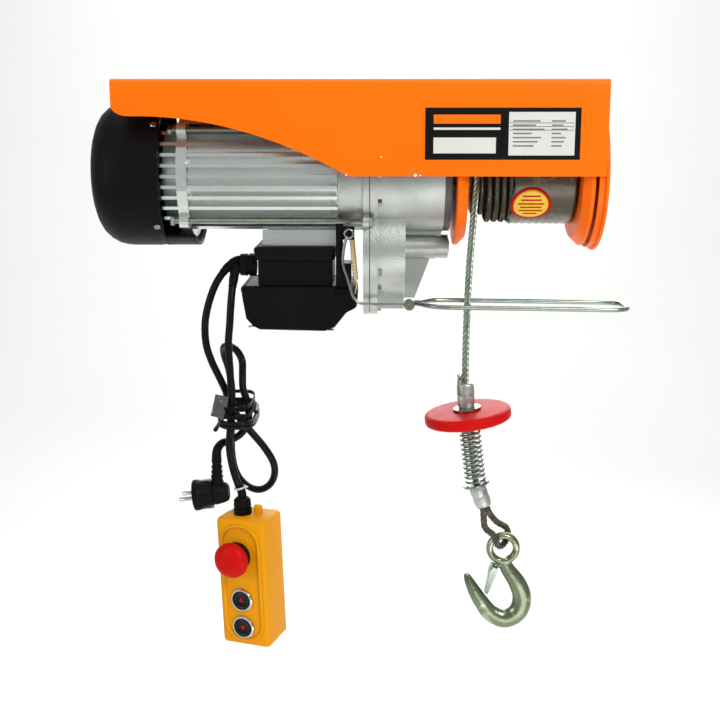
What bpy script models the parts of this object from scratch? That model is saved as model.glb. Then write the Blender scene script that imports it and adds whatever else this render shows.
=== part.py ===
"""Electric wire rope hoist: sheet cover, finned motor, three-stage gearbox, rope drum, limit bail,
hook block with stop disc, and a hanging pendant control.

Lengths below are millimetres. X runs along the motor and drum, +Z is up, -Y is the front.
The origin is the centre of the cover's flat top face, where the hoist is fastened.
"""

import math

import bmesh
import bpy
from mathutils import Euler, Matrix, Vector

MM = 0.001

# Cover
COVER_HALF_LENGTH = 239.0
COVER_HALF_WIDTH = 79.0
COVER_DEPTH = 92.0
SHEET = 3.0

# Shaft axes, as (y, z)
DRUM_AXIS = (0.0, -93.0)
SHAFT_A = (30.64, -121.72)
SHAFT_B = (0.0, -168.0)

# Gear train
MODULE = 1.5
TEETH = {"motor": 11, "a_in": 45, "a_out": 13, "b_in": 61, "b_out": 28, "drum": 72}
PRESSURE = math.radians(20)
ADDENDUM = 0.8 * MODULE
DEDENDUM = 1.15 * MODULE
BACKLASH = 0.1

# Motor
STATOR_R = 57.0
FIN_R = 64.0
FIN_PITCH = 10.5
FIN_THICK = 3.2
STUD_Y = 50.0
STUD_Z = 45.0

# Rope and drum
ROPE_R = 3.6
ROPE_Y = -46.3
DRUM_CORE_R = 29.0
DRUM_FLANGE_R = 73.0
WOUND_R = 50.0

# Pendant control
PENDANT_AT = (-118.8, -40.0, -449.0)
PENDANT_YAW = -22.0
PENDANT_LEAN = -2.0
PENDANT_W = 57.0
PENDANT_D = 46.0
PENDANT_H = 143.0
CORD_R = 3.9

GAP = 0.3

for old in list(bpy.data.objects):
    bpy.data.objects.remove(old, do_unlink=True)

PARTS = bpy.data.collections.new("electric_wire_rope_hoist")
CUTTERS = bpy.data.collections.new("cutters")
bpy.context.scene.collection.children.link(PARTS)
bpy.context.scene.collection.children.link(CUTTERS)
CUTTERS.hide_render = True

LOOKS = {
    "orange_paint": ((0.90, 0.19, 0.012), 0.35, 0.0),
    "cast_aluminium": ((0.60, 0.61, 0.59), 0.42, 0.9),
    "motor_aluminium": ((0.66, 0.67, 0.65), 0.4, 0.9),
    "black_plastic": ((0.018, 0.018, 0.018), 0.4, 0.0),
    "zinc_steel": ((0.62, 0.64, 0.56), 0.3, 1.0),
    "gold_zinc": ((0.62, 0.47, 0.16), 0.35, 1.0),
    "steel": ((0.45, 0.45, 0.44), 0.35, 1.0),
    "gear_steel": ((0.30, 0.30, 0.30), 0.4, 1.0),
    "copper": ((0.55, 0.22, 0.08), 0.4, 0.9),
    "core_steel": ((0.22, 0.22, 0.23), 0.5, 0.9),
    "greased_rope": ((0.17, 0.16, 0.12), 0.55, 0.7),
    "bright_rope": ((0.48, 0.49, 0.44), 0.4, 0.9),
    "red_plastic": ((0.70, 0.012, 0.010), 0.35, 0.0),
    "yellow_plastic": ((0.92, 0.46, 0.010), 0.4, 0.0),
    "gasket_paper": ((0.22, 0.13, 0.07), 0.8, 0.0),
    "black_rubber": ((0.012, 0.012, 0.012), 0.5, 0.0),
}


def look(name):
    """One Principled material for each named look, made once."""
    mat = bpy.data.materials.get(name)
    if mat is None:
        colour, rough, metal = LOOKS[name]
        mat = bpy.data.materials.new(name)
        mat.use_nodes = True
        shader = mat.node_tree.nodes["Principled BSDF"]
        shader.inputs["Base Color"].default_value = (*colour, 1.0)
        shader.inputs["Roughness"].default_value = rough
        shader.inputs["Metallic"].default_value = metal
        mat.diffuse_color = (*colour, 1.0)
    return mat


def place(obj, mat):
    """A part goes in the object's collection, and a cutter, which has no look, in the other."""
    if mat is None:
        CUTTERS.objects.link(obj)
        obj.hide_render = True
        obj.display_type = "WIRE"
    else:
        PARTS.objects.link(obj)
        obj.data.materials.append(look(mat))
    return obj


def from_bmesh(name, bm, mat):
    mesh = bpy.data.meshes.new(name)
    bm.to_mesh(mesh)
    bm.free()
    return place(bpy.data.objects.new(name, mesh), mat)


def turn_of(axis):
    """Rotation that lays local Z along X, across Y, or leaves it up."""
    angles = {"x": (90, 0, 90), "y": (90, 0, 0), "z": (0, 0, 0)}[axis]
    return Euler([math.radians(a) for a in angles])


def centre_of(axis, middle, at):
    """World point at a place along an axis; at holds the two other coordinates."""
    if axis == "x":
        return Vector((middle, at[0], at[1])) * MM
    if axis == "y":
        return Vector((at[0], middle, at[1])) * MM
    return Vector((at[0], at[1], middle)) * MM


def box(name, low, high, mat=None, bevel=0.0, segments=2):
    bm = bmesh.new()
    bmesh.ops.create_cube(bm, size=1.0)
    size = [(high[i] - low[i]) * MM for i in range(3)]
    bmesh.ops.scale(bm, vec=size, verts=bm.verts)
    obj = from_bmesh(name, bm, mat)
    obj.location = [(high[i] + low[i]) / 2 * MM for i in range(3)]
    if bevel:
        mod = obj.modifiers.new("rounding", "BEVEL")
        mod.width = bevel * MM
        mod.segments = segments
        mod.limit_method = "ANGLE"
    return obj


def cylinder(name, radius, start, end, at, axis, mat=None, sides=28, end_radius=None):
    bm = bmesh.new()
    other = radius if end_radius is None else end_radius
    bmesh.ops.create_cone(bm, cap_ends=True, cap_tris=False, segments=sides,
                          radius1=radius * MM, radius2=other * MM, depth=abs(end - start) * MM)
    obj = from_bmesh(name, bm, mat)
    obj.rotation_euler = turn_of(axis)
    obj.location = centre_of(axis, (start + end) / 2, at)
    return obj


def turned(name, profile, at, axis, mat=None, steps=28, closed=False):
    """Screw of a profile of (place along the axis, radius), listed down its outer side."""
    verts = [(radius * MM, 0.0, along * MM) for along, radius in profile]
    edges = [(i, i + 1) for i in range(len(verts) - 1)]
    if closed:
        edges.append((len(verts) - 1, 0))
    mesh = bpy.data.meshes.new(name)
    mesh.from_pydata(verts, edges, [])
    obj = place(bpy.data.objects.new(name, mesh), mat)
    obj.rotation_euler = turn_of(axis)
    obj.location = centre_of(axis, 0.0, at)
    mod = obj.modifiers.new("turn", "SCREW")
    mod.axis = "Z"
    mod.steps = steps
    mod.render_steps = steps
    mod.use_merge_vertices = True
    mod.merge_threshold = 0.0001
    mod.use_smooth_shade = True
    return obj


def ring(name, outer, inner, start, end, at, axis, mat=None, steps=18):
    low, high = min(start, end), max(start, end)
    profile = [(high, outer), (low, outer), (low, inner), (high, inner)]
    return turned(name, profile, at, axis, mat, steps, closed=True)


def meshed(obj, mat):
    """A curve turned into one welded mesh with the curve's place."""
    bpy.context.view_layer.update()
    graph = bpy.context.evaluated_depsgraph_get()
    mesh = bpy.data.meshes.new_from_object(obj.evaluated_get(graph))
    bm = bmesh.new()
    bm.from_mesh(mesh)
    bmesh.ops.remove_doubles(bm, verts=bm.verts, dist=1e-6)
    bmesh.ops.recalc_face_normals(bm, faces=bm.faces)
    bm.to_mesh(mesh)
    bm.free()
    mesh.materials.clear()
    name = obj.name
    matrix = obj.matrix_world.copy()
    curve = obj.data
    bpy.data.objects.remove(obj, do_unlink=True)
    bpy.data.curves.remove(curve)
    made = place(bpy.data.objects.new(name, mesh), mat)
    made.matrix_world = matrix
    return made


def plate(name, outlines, start, end, axis, mat=None):
    """Flat outlines, the first with the others as holes, with a thickness along an axis."""
    curve = bpy.data.curves.new(name, "CURVE")
    curve.dimensions = "2D"
    curve.fill_mode = "BOTH"
    curve.extrude = abs(end - start) / 2 * MM
    for outline in outlines:
        spline = curve.splines.new("POLY")
        spline.points.add(len(outline) - 1)
        for point, (u, v) in zip(spline.points, outline):
            point.co = (u * MM, v * MM, 0.0, 1.0)
        spline.use_cyclic_u = True
    obj = bpy.data.objects.new(name, curve)
    bpy.context.scene.collection.objects.link(obj)
    obj.rotation_euler = turn_of(axis)
    obj.location = centre_of(axis, (start + end) / 2, (0.0, 0.0))
    return meshed(obj, mat)


def tube(name, points, radius, mat=None, resolution=2, cyclic=False, radii=None):
    """A round rod, wire or cord along points, with filled ends."""
    curve = bpy.data.curves.new(name, "CURVE")
    curve.dimensions = "3D"
    curve.bevel_depth = radius * MM
    curve.bevel_resolution = resolution
    curve.use_fill_caps = True
    spline = curve.splines.new("POLY")
    spline.points.add(len(points) - 1)
    for i, point in enumerate(points):
        spline.points[i].co = (*[c * MM for c in point], 1.0)
        spline.points[i].radius = 1.0 if radii is None else radii[i] / radius
    spline.use_cyclic_u = cyclic
    obj = bpy.data.objects.new(name, curve)
    bpy.context.scene.collection.objects.link(obj)
    return meshed(obj, mat)


def combine(obj, tool, operation="DIFFERENCE"):
    mod = obj.modifiers.new(operation.lower(), "BOOLEAN")
    mod.operation = operation
    mod.object = tool
    mod.solver = "EXACT"


def join(obj, *tools):
    for tool in tools:
        combine(obj, tool, "UNION")


def cut(obj, *tools):
    for tool in tools:
        combine(obj, tool, "DIFFERENCE")


def circle(radius, at, sides=28):
    turn = 2 * math.pi / sides
    return [(at[0] + radius * math.cos(turn * i), at[1] + radius * math.sin(turn * i))
            for i in range(sides)]


def arc(centre, radius, first, last, count):
    """Points on an arc, with angles in degrees."""
    points = []
    for i in range(count + 1):
        angle = math.radians(first + (last - first) * i / count)
        points.append((centre[0] + radius * math.cos(angle), centre[1] + radius * math.sin(angle)))
    return points


def merged_circles(discs, middle, count):
    """Outer outline of discs as seen from a point that lies inside them."""
    points = []
    for i in range(count):
        angle = 2 * math.pi * i / count
        way = (math.cos(angle), math.sin(angle))
        reach = 0.0
        for (y, z), radius in discs:
            across = (y - middle[0], z - middle[1])
            along = across[0] * way[0] + across[1] * way[1]
            inside = radius ** 2 - (across[0] ** 2 + across[1] ** 2 - along ** 2)
            if inside > 0:
                reach = max(reach, along + math.sqrt(inside))
        points.append((middle[0] + reach * way[0], middle[1] + reach * way[1]))
    return points


def involute(angle):
    return math.tan(angle) - angle


def gear_outline(teeth, at, phase):
    """Straight-sided teeth through the involute's points at the root and the tip."""
    pitch_r = MODULE * teeth / 2
    base_r = pitch_r * math.cos(PRESSURE)
    tip, root = pitch_r + ADDENDUM, pitch_r - DEDENDUM

    def half(radius):
        angle = math.acos(min(1.0, base_r / radius)) if radius > base_r else 0.0
        return math.pi / (2 * teeth) + involute(PRESSURE) - involute(angle) - BACKLASH / radius

    points = []
    for i in range(teeth):
        middle = phase + 2 * math.pi * i / teeth
        for radius, side in ((root, -1), (tip, -1), (tip, 1), (root, 1)):
            angle = middle + side * half(radius)
            points.append((at[0] + radius * math.cos(angle), at[1] + radius * math.sin(angle)))
    return points


def direction(start, end):
    return math.atan2(end[1] - start[1], end[0] - start[0])


def smooth_path(points, spacing):
    """Evenly spaced points on a smooth curve through a route's own points."""
    route = [Vector(p) for p in points]
    route = [route[0] * 2 - route[1]] + route + [route[-1] * 2 - route[-2]]
    fine = []
    for i in range(1, len(route) - 2):
        p0, p1, p2, p3 = route[i - 1:i + 3]
        t1 = (p1 - p0).length ** 0.5
        t2 = t1 + (p2 - p1).length ** 0.5
        t3 = t2 + (p3 - p2).length ** 0.5
        for k in range(16):
            t = t1 + (t2 - t1) * k / 16
            a1 = p0 * ((t1 - t) / t1) + p1 * (t / t1)
            a2 = p1 * ((t2 - t) / (t2 - t1)) + p2 * ((t - t1) / (t2 - t1))
            a3 = p2 * ((t3 - t) / (t3 - t2)) + p3 * ((t - t2) / (t3 - t2))
            b1 = a1 * ((t2 - t) / t2) + a2 * (t / t2)
            b2 = a2 * ((t3 - t) / (t3 - t1)) + a3 * ((t - t1) / (t3 - t1))
            fine.append(b1 * ((t2 - t) / (t2 - t1)) + b2 * ((t - t1) / (t2 - t1)))
    fine.append(route[-2])
    total = sum((b - a).length for a, b in zip(fine, fine[1:]))
    count = max(2, round(total / spacing))
    even = [fine[0]]
    walked = 0.0
    target = total / count
    for a, b in zip(fine, fine[1:]):
        step = (b - a).length
        while walked + step >= target - 1e-6 and len(even) < count:
            even.append(a.lerp(b, (target - walked) / step))
            target += total / count
        walked += step
    even.append(fine[-1])
    return [tuple(p) for p in even]


def cord_path(route, spacing):
    """A smooth route whose two ends run straight for a little, so that they meet what holds them."""
    start, end = Vector(route[0]), Vector(route[-1])
    inner = [tuple(start + (Vector(route[1]) - start).normalized() * 2.5)]
    inner += route[1:-1]
    inner.append(tuple(end + (Vector(route[-2]) - end).normalized() * 2.5))
    return [tuple(start)] + smooth_path(inner, spacing) + [tuple(end)]


# ---------------------------------------------------------------- cover and end support

half, depth, sheet = COVER_HALF_WIDTH, COVER_DEPTH, SHEET
outer_bend, inner_bend = 5.0, 2.0
channel = [(-half, -depth)]
channel += arc((-half + outer_bend, -outer_bend), outer_bend, 180, 90, 4)
channel += arc((half - outer_bend, -outer_bend), outer_bend, 90, 0, 4)
channel += [(half, -depth), (half - sheet, -depth)]
channel += arc((half - outer_bend, -outer_bend), inner_bend, 0, 90, 3)
channel += arc((-half + outer_bend, -outer_bend), inner_bend, 90, 180, 3)
channel += [(-half + sheet, -depth)]
frame_cover = plate("frame_cover", [channel], -COVER_HALF_LENGTH, COVER_HALF_LENGTH, "x",
                    "orange_paint")
skirt = [(-250, -110), (-250, -24), (-239.4, -24)]
skirt += arc((-229, -26), 9.6, 180, 250, 4)
skirt += [(-222 + 211 * i / 12, -35 - 57 * ((-7 + 211 * i / 12) / 204) ** 2) for i in range(1, 12)]
skirt += [(-11, -92), (-4, -95), (-4, -110)]
cut(frame_cover, plate("skirt_cut", [skirt], -100, 100, "y"))

dish = [(242.5, 78), (239.3, 78), (239.3, 75.2), (233, 75.2), (233, 73), (239.3, 70),
        (239.3, 20), (232.3, 20), (232.3, 12.3), (242.5, 12.3)]
turned("end_support", dish, DRUM_AXIS, "x", "orange_paint", 32, closed=True)

# ---------------------------------------------------------------- gearbox

MIDDLE = (5.0, -125.0)
rim = [(DRUM_AXIS, 62), (SHAFT_B, 54), (SHAFT_A, 43), ((0, -222), 18)]
room = [(DRUM_AXIS, 56.5), (SHAFT_B, 48.5), (SHAFT_A, 37)]
rim_line = merged_circles(rim, MIDDLE, 40)
room_line = merged_circles(room, MIDDLE, 30)
studs = [(y, DRUM_AXIS[1] + z) for y in (-STUD_Y, STUD_Y) for z in (STUD_Z, -STUD_Z)]

housing = cylinder("gearbox_housing", 59.5, 12, 91.5, DRUM_AXIS, "x", "cast_aluminium", 36)
web = [(42, -172), (72, -172), (72, -182), (57, -222), (42, -222)]
join(housing,
     plate("housing_rim", [rim_line], 10.2, 18, "x"),
     cylinder("housing_low", 51, 14, 46, SHAFT_B, "x"),
     cylinder("housing_side", 40, 14, 32.5, SHAFT_A, "x", sides=24),
     box("housing_foot", (14, -14, -232), (45.5, 14, -200)),
     cylinder("boss_wide", 13.4, 40, 78, SHAFT_B, "x", sides=20),
     cylinder("boss_end", 12.5, 70, 91, SHAFT_B, "x", sides=20),
     plate("housing_web", [web], -4, 4, "y"),
     box("housing_rib", (40, -5, -162), (84, 5, -146)))
cut(housing,
    plate("room_front", [room_line], 9, 30, "x"),
    cylinder("room_drum", 56.2, 20, 80, DRUM_AXIS, "x"),
    cylinder("room_low", 48.2, 20, 43.4, SHAFT_B, "x"),
    cylinder("bore_b", 9.3, 40, 88, SHAFT_B, "x", sides=18),
    cylinder("bore_drum", 19.3, 70, 95, DRUM_AXIS, "x", sides=24))

plate("gearbox_gasket", [rim_line, room_line], 9.45, 10.05, "x", "gasket_paper")

cover = plate("gearbox_cover", [rim_line], 3, 9.3, "x", "cast_aluminium")
join(cover, cylinder("bell", 58, -22, 4, DRUM_AXIS, "x", sides=36))
for number, at in enumerate(studs):
    join(cover, cylinder(f"cover_lug_{number}", 7, 3.2, 9.1, at, "x", sides=14))
cut(cover,
    plate("room_back", [room_line], 5.5, 12, "x"),
    ring("bell_room", 54, 22, -30, 3, DRUM_AXIS, "x"))
join(cover, cylinder("boss_a", 12.6, -19, 4, SHAFT_A, "x", sides=18))
cut(cover,
    cylinder("bore_a", 9.3, -17, 12, SHAFT_A, "x", sides=18),
    cylinder("bore_motor", 16.3, -12.3, 12, DRUM_AXIS, "x", sides=20),
    cylinder("bore_shaft", 10.5, -40, -10, DRUM_AXIS, "x", sides=24))

ring("motor_bearing_front", 16, 8.3, -12, -4, DRUM_AXIS, "x", "steel", 16)
ring("shaft_a_bearing", 9, 6.3, -16, 3, SHAFT_A, "x", "steel", 16)
ring("shaft_b_bearing", 9, 6.3, 50, 86, SHAFT_B, "x", "steel", 16)
ring("drum_bearing_left", 19, 13.3, 81, 90, DRUM_AXIS, "x", "steel", 18)
ring("drum_bearing_right", 12, 7.6, 233, 241, DRUM_AXIS, "x", "steel", 16)

# ---------------------------------------------------------------- motor


def finned_outline(core, tip):
    """Circle with level fins on both sides, about the motor's axis."""
    points = []
    rows = int((core - FIN_THICK) // FIN_PITCH)
    for side in (1, -1):
        for row in range(-rows, rows + 1):
            height = side * row * FIN_PITCH
            for offset, wide in ((-1, core), (-1, tip), (1, tip), (1, core)):
                h = height + side * offset * FIN_THICK / 2
                points.append((side * math.sqrt(wide ** 2 - h ** 2), h))
        first = math.degrees(math.asin((rows * FIN_PITCH + FIN_THICK / 2) / core))
        start = first if side == 1 else 180 + first
        points += arc((0, 0), core, start, start + 180 - 2 * first, 4)[1:-1]
    return [(y + DRUM_AXIS[0], z + DRUM_AXIS[1]) for y, z in points]


plate("stator_housing", [finned_outline(STATOR_R, FIN_R), circle(54, DRUM_AXIS)],
      -170.5, -22.3, "x", "motor_aluminium")
ring("stator_core", 53.2, 33, -150, -45, DRUM_AXIS, "x", "core_steel")
ring("winding_rear", 51, 37, -165, -150.4, DRUM_AXIS, "x", "copper", 18)
ring("winding_front", 51, 37, -44.6, -30, DRUM_AXIS, "x", "copper", 18)

shield = plate("rear_end_shield", [finned_outline(50, FIN_R), circle(47, DRUM_AXIS, 40)],
               -197, -179, "x", "motor_aluminium")
join(shield, cylinder("shield_disc", 64.5, -181, -170.8, DRUM_AXIS, "x"))
for number, at in enumerate(studs):
    join(shield, cylinder(f"shield_lug_{number}", 6.6, -180.5, -171.2, at, "x", sides=12))
cut(shield,
    cylinder("shield_room", 54, -176, -160, DRUM_AXIS, "x"),
    cylinder("shield_bore", 15.3, -200, -160, DRUM_AXIS, "x", sides=20))
for number, at in enumerate(studs):
    cut(shield, cylinder(f"stud_hole_{number}", 2.9, -190, -160, at, "x", sides=10))
    cylinder(f"motor_stud_{number + 1}", 2.5, -186, 2.7, at, "x", "zinc_steel", 10)
ring("motor_bearing_rear", 15, 8.3, -181, -175, DRUM_AXIS, "x", "steel", 16)
ring("brake_coil", 40, 20, -195, -183, DRUM_AXIS, "x", "core_steel", 18)

dome = [(-269.5, 0), (-269.5, 29), (-266.6, 47), (-260, 60.2), (-249, 68.6), (-235, 71),
        (-197.3, 71), (-197.3, 73.5), (-235, 73.5), (-250, 71), (-262, 62), (-269, 48),
        (-272, 30), (-272, 0)]
fan_cover = turned("fan_cover", dome, DRUM_AXIS, "x", "black_plastic", 32)
lip = ring("cover_lip", 73.4, 71.1, -205, -167, DRUM_AXIS, "x", steps=32)
cut(lip, box("lip_trim", (-215, -90, -152), (-150, 90, 0)))
join(fan_cover, lip)

ring("rotor_core", 32.4, 8.3, -150, -45, DRUM_AXIS, "x", "core_steel", 20)
motor_shaft = cylinder("motor_shaft", 8, -241, 0, DRUM_AXIS, "x", "gear_steel", 24)
toward_a = direction(DRUM_AXIS, SHAFT_A)
join(motor_shaft,
     cylinder("shaft_nose", 6.3, -2, 15.2, DRUM_AXIS, "x", sides=20),
     plate("motor_pinion", [gear_outline(TEETH["motor"], DRUM_AXIS, toward_a)], 6, 15, "x"))
fan = ring("fan", 14, 8.3, -236, -216, DRUM_AXIS, "x", "black_plastic", 28)
join(fan, ring("fan_disc", 62, 12, -219, -216.5, DRUM_AXIS, "x"))
for number in range(5):
    blade = box(f"fan_blade_{number}", (-234.6, 11, -1), (-217.6, 60, 1))
    around = Matrix.Rotation(math.radians(72 * number), 4, "X")
    blade.matrix_world = (Matrix.Translation(Vector((0, *DRUM_AXIS)) * MM) @ around
                          @ Matrix.Translation(Vector((-226.1, 35.5, 0)) * MM))
    join(fan, blade)

# ---------------------------------------------------------------- gear shafts

shaft_a = cylinder("shaft_a", 6, -15, 29.5, SHAFT_A, "x", "gear_steel", 24)
toward_b = direction(SHAFT_A, SHAFT_B)
join(shaft_a,
     plate("pinion_a", [gear_outline(TEETH["a_out"], SHAFT_A, toward_b)], 17.5, 28.5, "x"))
phase = toward_a + math.pi + math.pi / TEETH["a_in"]
plate("shaft_a_gear", [gear_outline(TEETH["a_in"], SHAFT_A, phase), circle(6.3, SHAFT_A, 20)],
      7, 15, "x", "gear_steel")
shaft_b = cylinder("shaft_b", 6, 16, 87, SHAFT_B, "x", "gear_steel", 24)
toward_drum = direction(SHAFT_B, DRUM_AXIS)
join(shaft_b,
     plate("pinion_b", [gear_outline(TEETH["b_out"], SHAFT_B, toward_drum)], 31, 42, "x"))
phase = toward_b + math.pi + math.pi / TEETH["b_in"]
plate("shaft_b_gear", [gear_outline(TEETH["b_in"], SHAFT_B, phase), circle(6.3, SHAFT_B, 20)],
      18.5, 27.5, "x", "gear_steel")
phase = toward_drum + math.pi + math.pi / TEETH["drum"]
plate("drum_gear", [gear_outline(TEETH["drum"], DRUM_AXIS, phase), circle(13.3, DRUM_AXIS, 28)],
      31, 42, "x", "gear_steel")

# ---------------------------------------------------------------- drum and wound rope

core, flange = DRUM_CORE_R, DRUM_FLANGE_R
drum = [(240.5, 0), (240.5, 7.3), (230.5, 7.3), (230.5, flange), (226, flange), (219, 66),
        (219, core), (107, core), (107, 66), (100, flange), (96, flange), (96, 13),
        (30.7, 13), (30.7, 0)]
turned("drum", drum, DRUM_AXIS, "x", "orange_paint", 30)
full, thin = WOUND_R, WOUND_R - 2 * ROPE_R - 0.7
wound = [(218.6, full - 3), (215, full), (126, full), (121.6, full - 3), (121.6, thin),
         (107.4, thin), (107.4, core + GAP), (218.6, core + GAP)]
turned("wound_rope", wound, DRUM_AXIS, "x", "greased_rope", 28, closed=True)

# ---------------------------------------------------------------- terminal box under the motor

pad = box("box_pad", (-99.5, -34, -164), (-25, 34, -142), "motor_aluminium")
cut(pad, cylinder("pad_seat", FIN_R + 0.4, -120, -10, DRUM_AXIS, "x", sides=72))
base = box("box_base", (-107, -45, -178), (-25, 45, -164.3), "black_plastic", 3)
join(base, box("base_wall", (-104, -41, -204), (-28, 41, -170)))
cut(base, box("base_room", (-101, -38, -215), (-31, 38, -167.5)))
lid_line = [(-121, -204.3), (-121, -214), (-117, -238), (-110, -246), (-103, -249.5),
            (-36, -251), (-26, -247), (-14, -232), (-3, -226), (-3, -214), (-10, -204.3)]
lid_room = [(-118, -200), (-118, -214.5), (-114.4, -236.6), (-108.4, -243.4), (-102.4, -246.5),
            (-37, -248), (-28, -244.6), (-16, -229.6), (-6, -224), (-6, -215), (-13, -206),
            (-13, -200)]
lid = plate("box_cover", [lid_line], -45, 45, "y", "black_plastic")
soften = lid.modifiers.new("rounding", "BEVEL")
soften.width = 2.5 * MM
soften.segments = 2
soften.limit_method = "ANGLE"
soften.angle_limit = math.radians(50)
cut(lid, plate("lid_room", [lid_room], -42, 42, "y"))
cylinder("capacitor", 17, -110, -50, (0, -224), "x", "motor_aluminium", 28)
ring("cable_gland", 11, 2, -124, -107.3, (-22, -185), "x", "black_plastic", 24)

limit_switch = box("limit_switch", (-24.4, -52, -203.9), (-9, -20, -180), "black_plastic", 1)
join(limit_switch,
     box("switch_post", (-24.2, -52, -184), (-17, -44, -141)),
     box("switch_arm", (-24, -52, -156), (-5.5, -48, -143)),
     cylinder("switch_pivot", 2.0, -59.5, -50, (-11, -149.5), "y", sides=16))

# ---------------------------------------------------------------- limit bail and arm

PIVOT = (-11.0, -149.5)
ARM_Y = -56.5
arm_route = [(-13.4, ARM_Y, -153.0), (-16.2, ARM_Y, -166), (-17, ARM_Y, -180), (-13.4, ARM_Y, -192),
             (-9.8, ARM_Y, -204), (-6.4, ARM_Y, -213.4), (-0.5, ARM_Y, -219.3), (12, ARM_Y, -220.6),
             (30, ARM_Y, -220.9), (49, ARM_Y, -221)]
arm = tube("limit_arm", smooth_path(arm_route, 9), 1.5, "zinc_steel")
join(arm,
     ring("arm_eye", 5.4, 2.4, 54.8, 58, PIVOT, "y", steps=18),
     cylinder("arm_knob", 5.5, -61.5, -52.2, (50, -221), "y", sides=20))

BAIL_Y = (-70.0, -22.0)


def bail_point(x, y):
    """The bail lies almost level and drops a little towards its free end."""
    return (x, y, -221 - 3 * (x - 51) / 217)


side = [(53, -46), (60.5, -51.5), (68, -61), (76, -67.6), (88, BAIL_Y[0]), (120, BAIL_Y[0]),
        (170, BAIL_Y[0]), (220, BAIL_Y[0]), (252, BAIL_Y[0]), (262, -67.5), (268.5, -60.5), (270, -46)]
loop = side + [(x, -92 - y) for x, y in reversed(side[1:-1])]
tube("limit_bail", [bail_point(x, y) for x, y in loop], 2.5, "zinc_steel", cyclic=True)


# ---------------------------------------------------------------- rope end, springs and hook

rope_line = [(116.8, ROPE_Y, -93), (115.4, ROPE_Y, -114), (114, ROPE_Y, -134), (112.3, ROPE_Y, -159),
             (110.9, ROPE_Y, -182), (109.8, ROPE_Y, -210), (109.1, ROPE_Y, -240),
             (108.7, ROPE_Y, -271), (108.8, ROPE_Y, -304.6)]
tube("hanging_rope", smooth_path(rope_line, 16), ROPE_R, "bright_rope")


def between(name, start, end, radius, mat=None, sides=32, end_radius=None, flat=1.0):
    """A round bar from one point to another, with its depth flattened if asked."""
    start, end = Vector(start), Vector(end)
    bm = bmesh.new()
    other = radius if end_radius is None else end_radius
    bmesh.ops.create_cone(bm, cap_ends=True, segments=sides, radius1=radius * MM,
                          radius2=other * MM, depth=(end - start).length * MM)
    bmesh.ops.scale(bm, vec=(1, flat, 1), verts=bm.verts)
    obj = from_bmesh(name, bm, mat)
    obj.rotation_euler = (0, math.atan2(end.x - start.x, end.z - start.z), 0)
    obj.location = (start + end) / 2 * MM
    return obj


def sleeve(name, start, end, outer, inner, mat):
    """A round sleeve from one point to another."""
    half_length = (Vector(end) - Vector(start)).length / 2
    made = ring(name, outer, inner, -half_length, half_length, (0, 0), "z", mat, 16)
    made.rotation_euler = (0, math.atan2(end[0] - start[0], end[2] - start[2]), 0)
    made.location = (Vector(start) + Vector(end)) / 2 * MM
    return made


def on_line(start, end, share):
    return tuple(Vector(start).lerp(Vector(end), share))


ferrule_top, ferrule_low = (108.9, ROPE_Y, -305), (110.6, ROPE_Y, -331.6)
ferrule = between("upper_ferrule", ferrule_top, ferrule_low, 9.2, "motor_aluminium", 24, flat=0.75)
seat = (111.3, ROPE_Y, -332.0)
disc_mid = (112.2, ROPE_Y, -339.0)
spring_low = (122.3, ROPE_Y, -413.0)
axis_line = (Vector(spring_low) - Vector(disc_mid)).normalized()
washer_top = tuple(Vector(seat) - axis_line * 1.6)
washer_low = tuple(Vector(seat) + axis_line * 0.6)
join(ferrule, between("spring_washer", washer_top, washer_low, 14.5, sides=32))
disc_start = tuple(Vector(seat) + axis_line * 1.0)
disc_end = tuple(Vector(seat) + axis_line * 13.0)
stop_disc = between("stop_disc", disc_start, disc_end, 45, "red_plastic", 32)
soften = stop_disc.modifiers.new("rounding", "BEVEL")
soften.width = 3 * MM
soften.segments = 2
soften.limit_method = "ANGLE"
soften.angle_limit = math.radians(60)
cut(stop_disc, between("disc_bore", on_line(disc_start, disc_end, -1), on_line(disc_start, disc_end, 2),
                       5.2, sides=24))
rope_start = tuple(Vector(seat) + axis_line * 0.9)
tube("lower_rope", [rope_start, disc_mid, on_line(disc_mid, spring_low, 0.5),
                    tuple(Vector(spring_low) - axis_line * 1.6)], ROPE_R, "bright_rope")
spring_top = tuple(Vector(disc_end) + axis_line * 1.6)
sleeve("bumper_spring", spring_top, tuple(Vector(spring_low) - axis_line * 2.4), 10.7, 8.1,
       "zinc_steel")
sleeve("limit_spring", (-7.5, -49, -160), (-3.5, -49, -203), 2.8, 1.7, "gold_zinc")
foot_way = Vector((0.342, 0, -0.94))
foot = Vector(spring_low)
lower = between("lower_ferrule", tuple(foot), tuple(foot + foot_way * 27), 9.0, "motor_aluminium",
                24, flat=0.8)
join(lower, between("low_washer", tuple(foot - axis_line * 1.2), tuple(foot + axis_line * 1.3), 14.5))

EYE = (152.7, ROPE_Y, -485.3)
LOOP_WAY = Vector((0.57, 0.82, 0)).normalized()
loop_top = foot + foot_way * 29.5
loop_low = Vector((EYE[0] - 1.5, ROPE_Y, -483.0))
legs = []
for side_way in (-1, 1):
    legs.append([
        loop_top + LOOP_WAY * side_way * 3.8,
        loop_top + Vector((1.5, 0, -6)) + LOOP_WAY * side_way * 5.5,
        loop_top + Vector((6.5, 0, -18)) + LOOP_WAY * side_way * 11.8,
        loop_low + Vector((-1.0, 0, 15)) + LOOP_WAY * side_way * 13.6,
        loop_low + Vector((0, 0, 4.2)) + LOOP_WAY * side_way * 9.6])
eye_route = legs[0] + [loop_low] + legs[1][::-1]
tube("rope_eye", smooth_path([tuple(p) for p in eye_route], 6), ROPE_R, "greased_rope")

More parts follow.
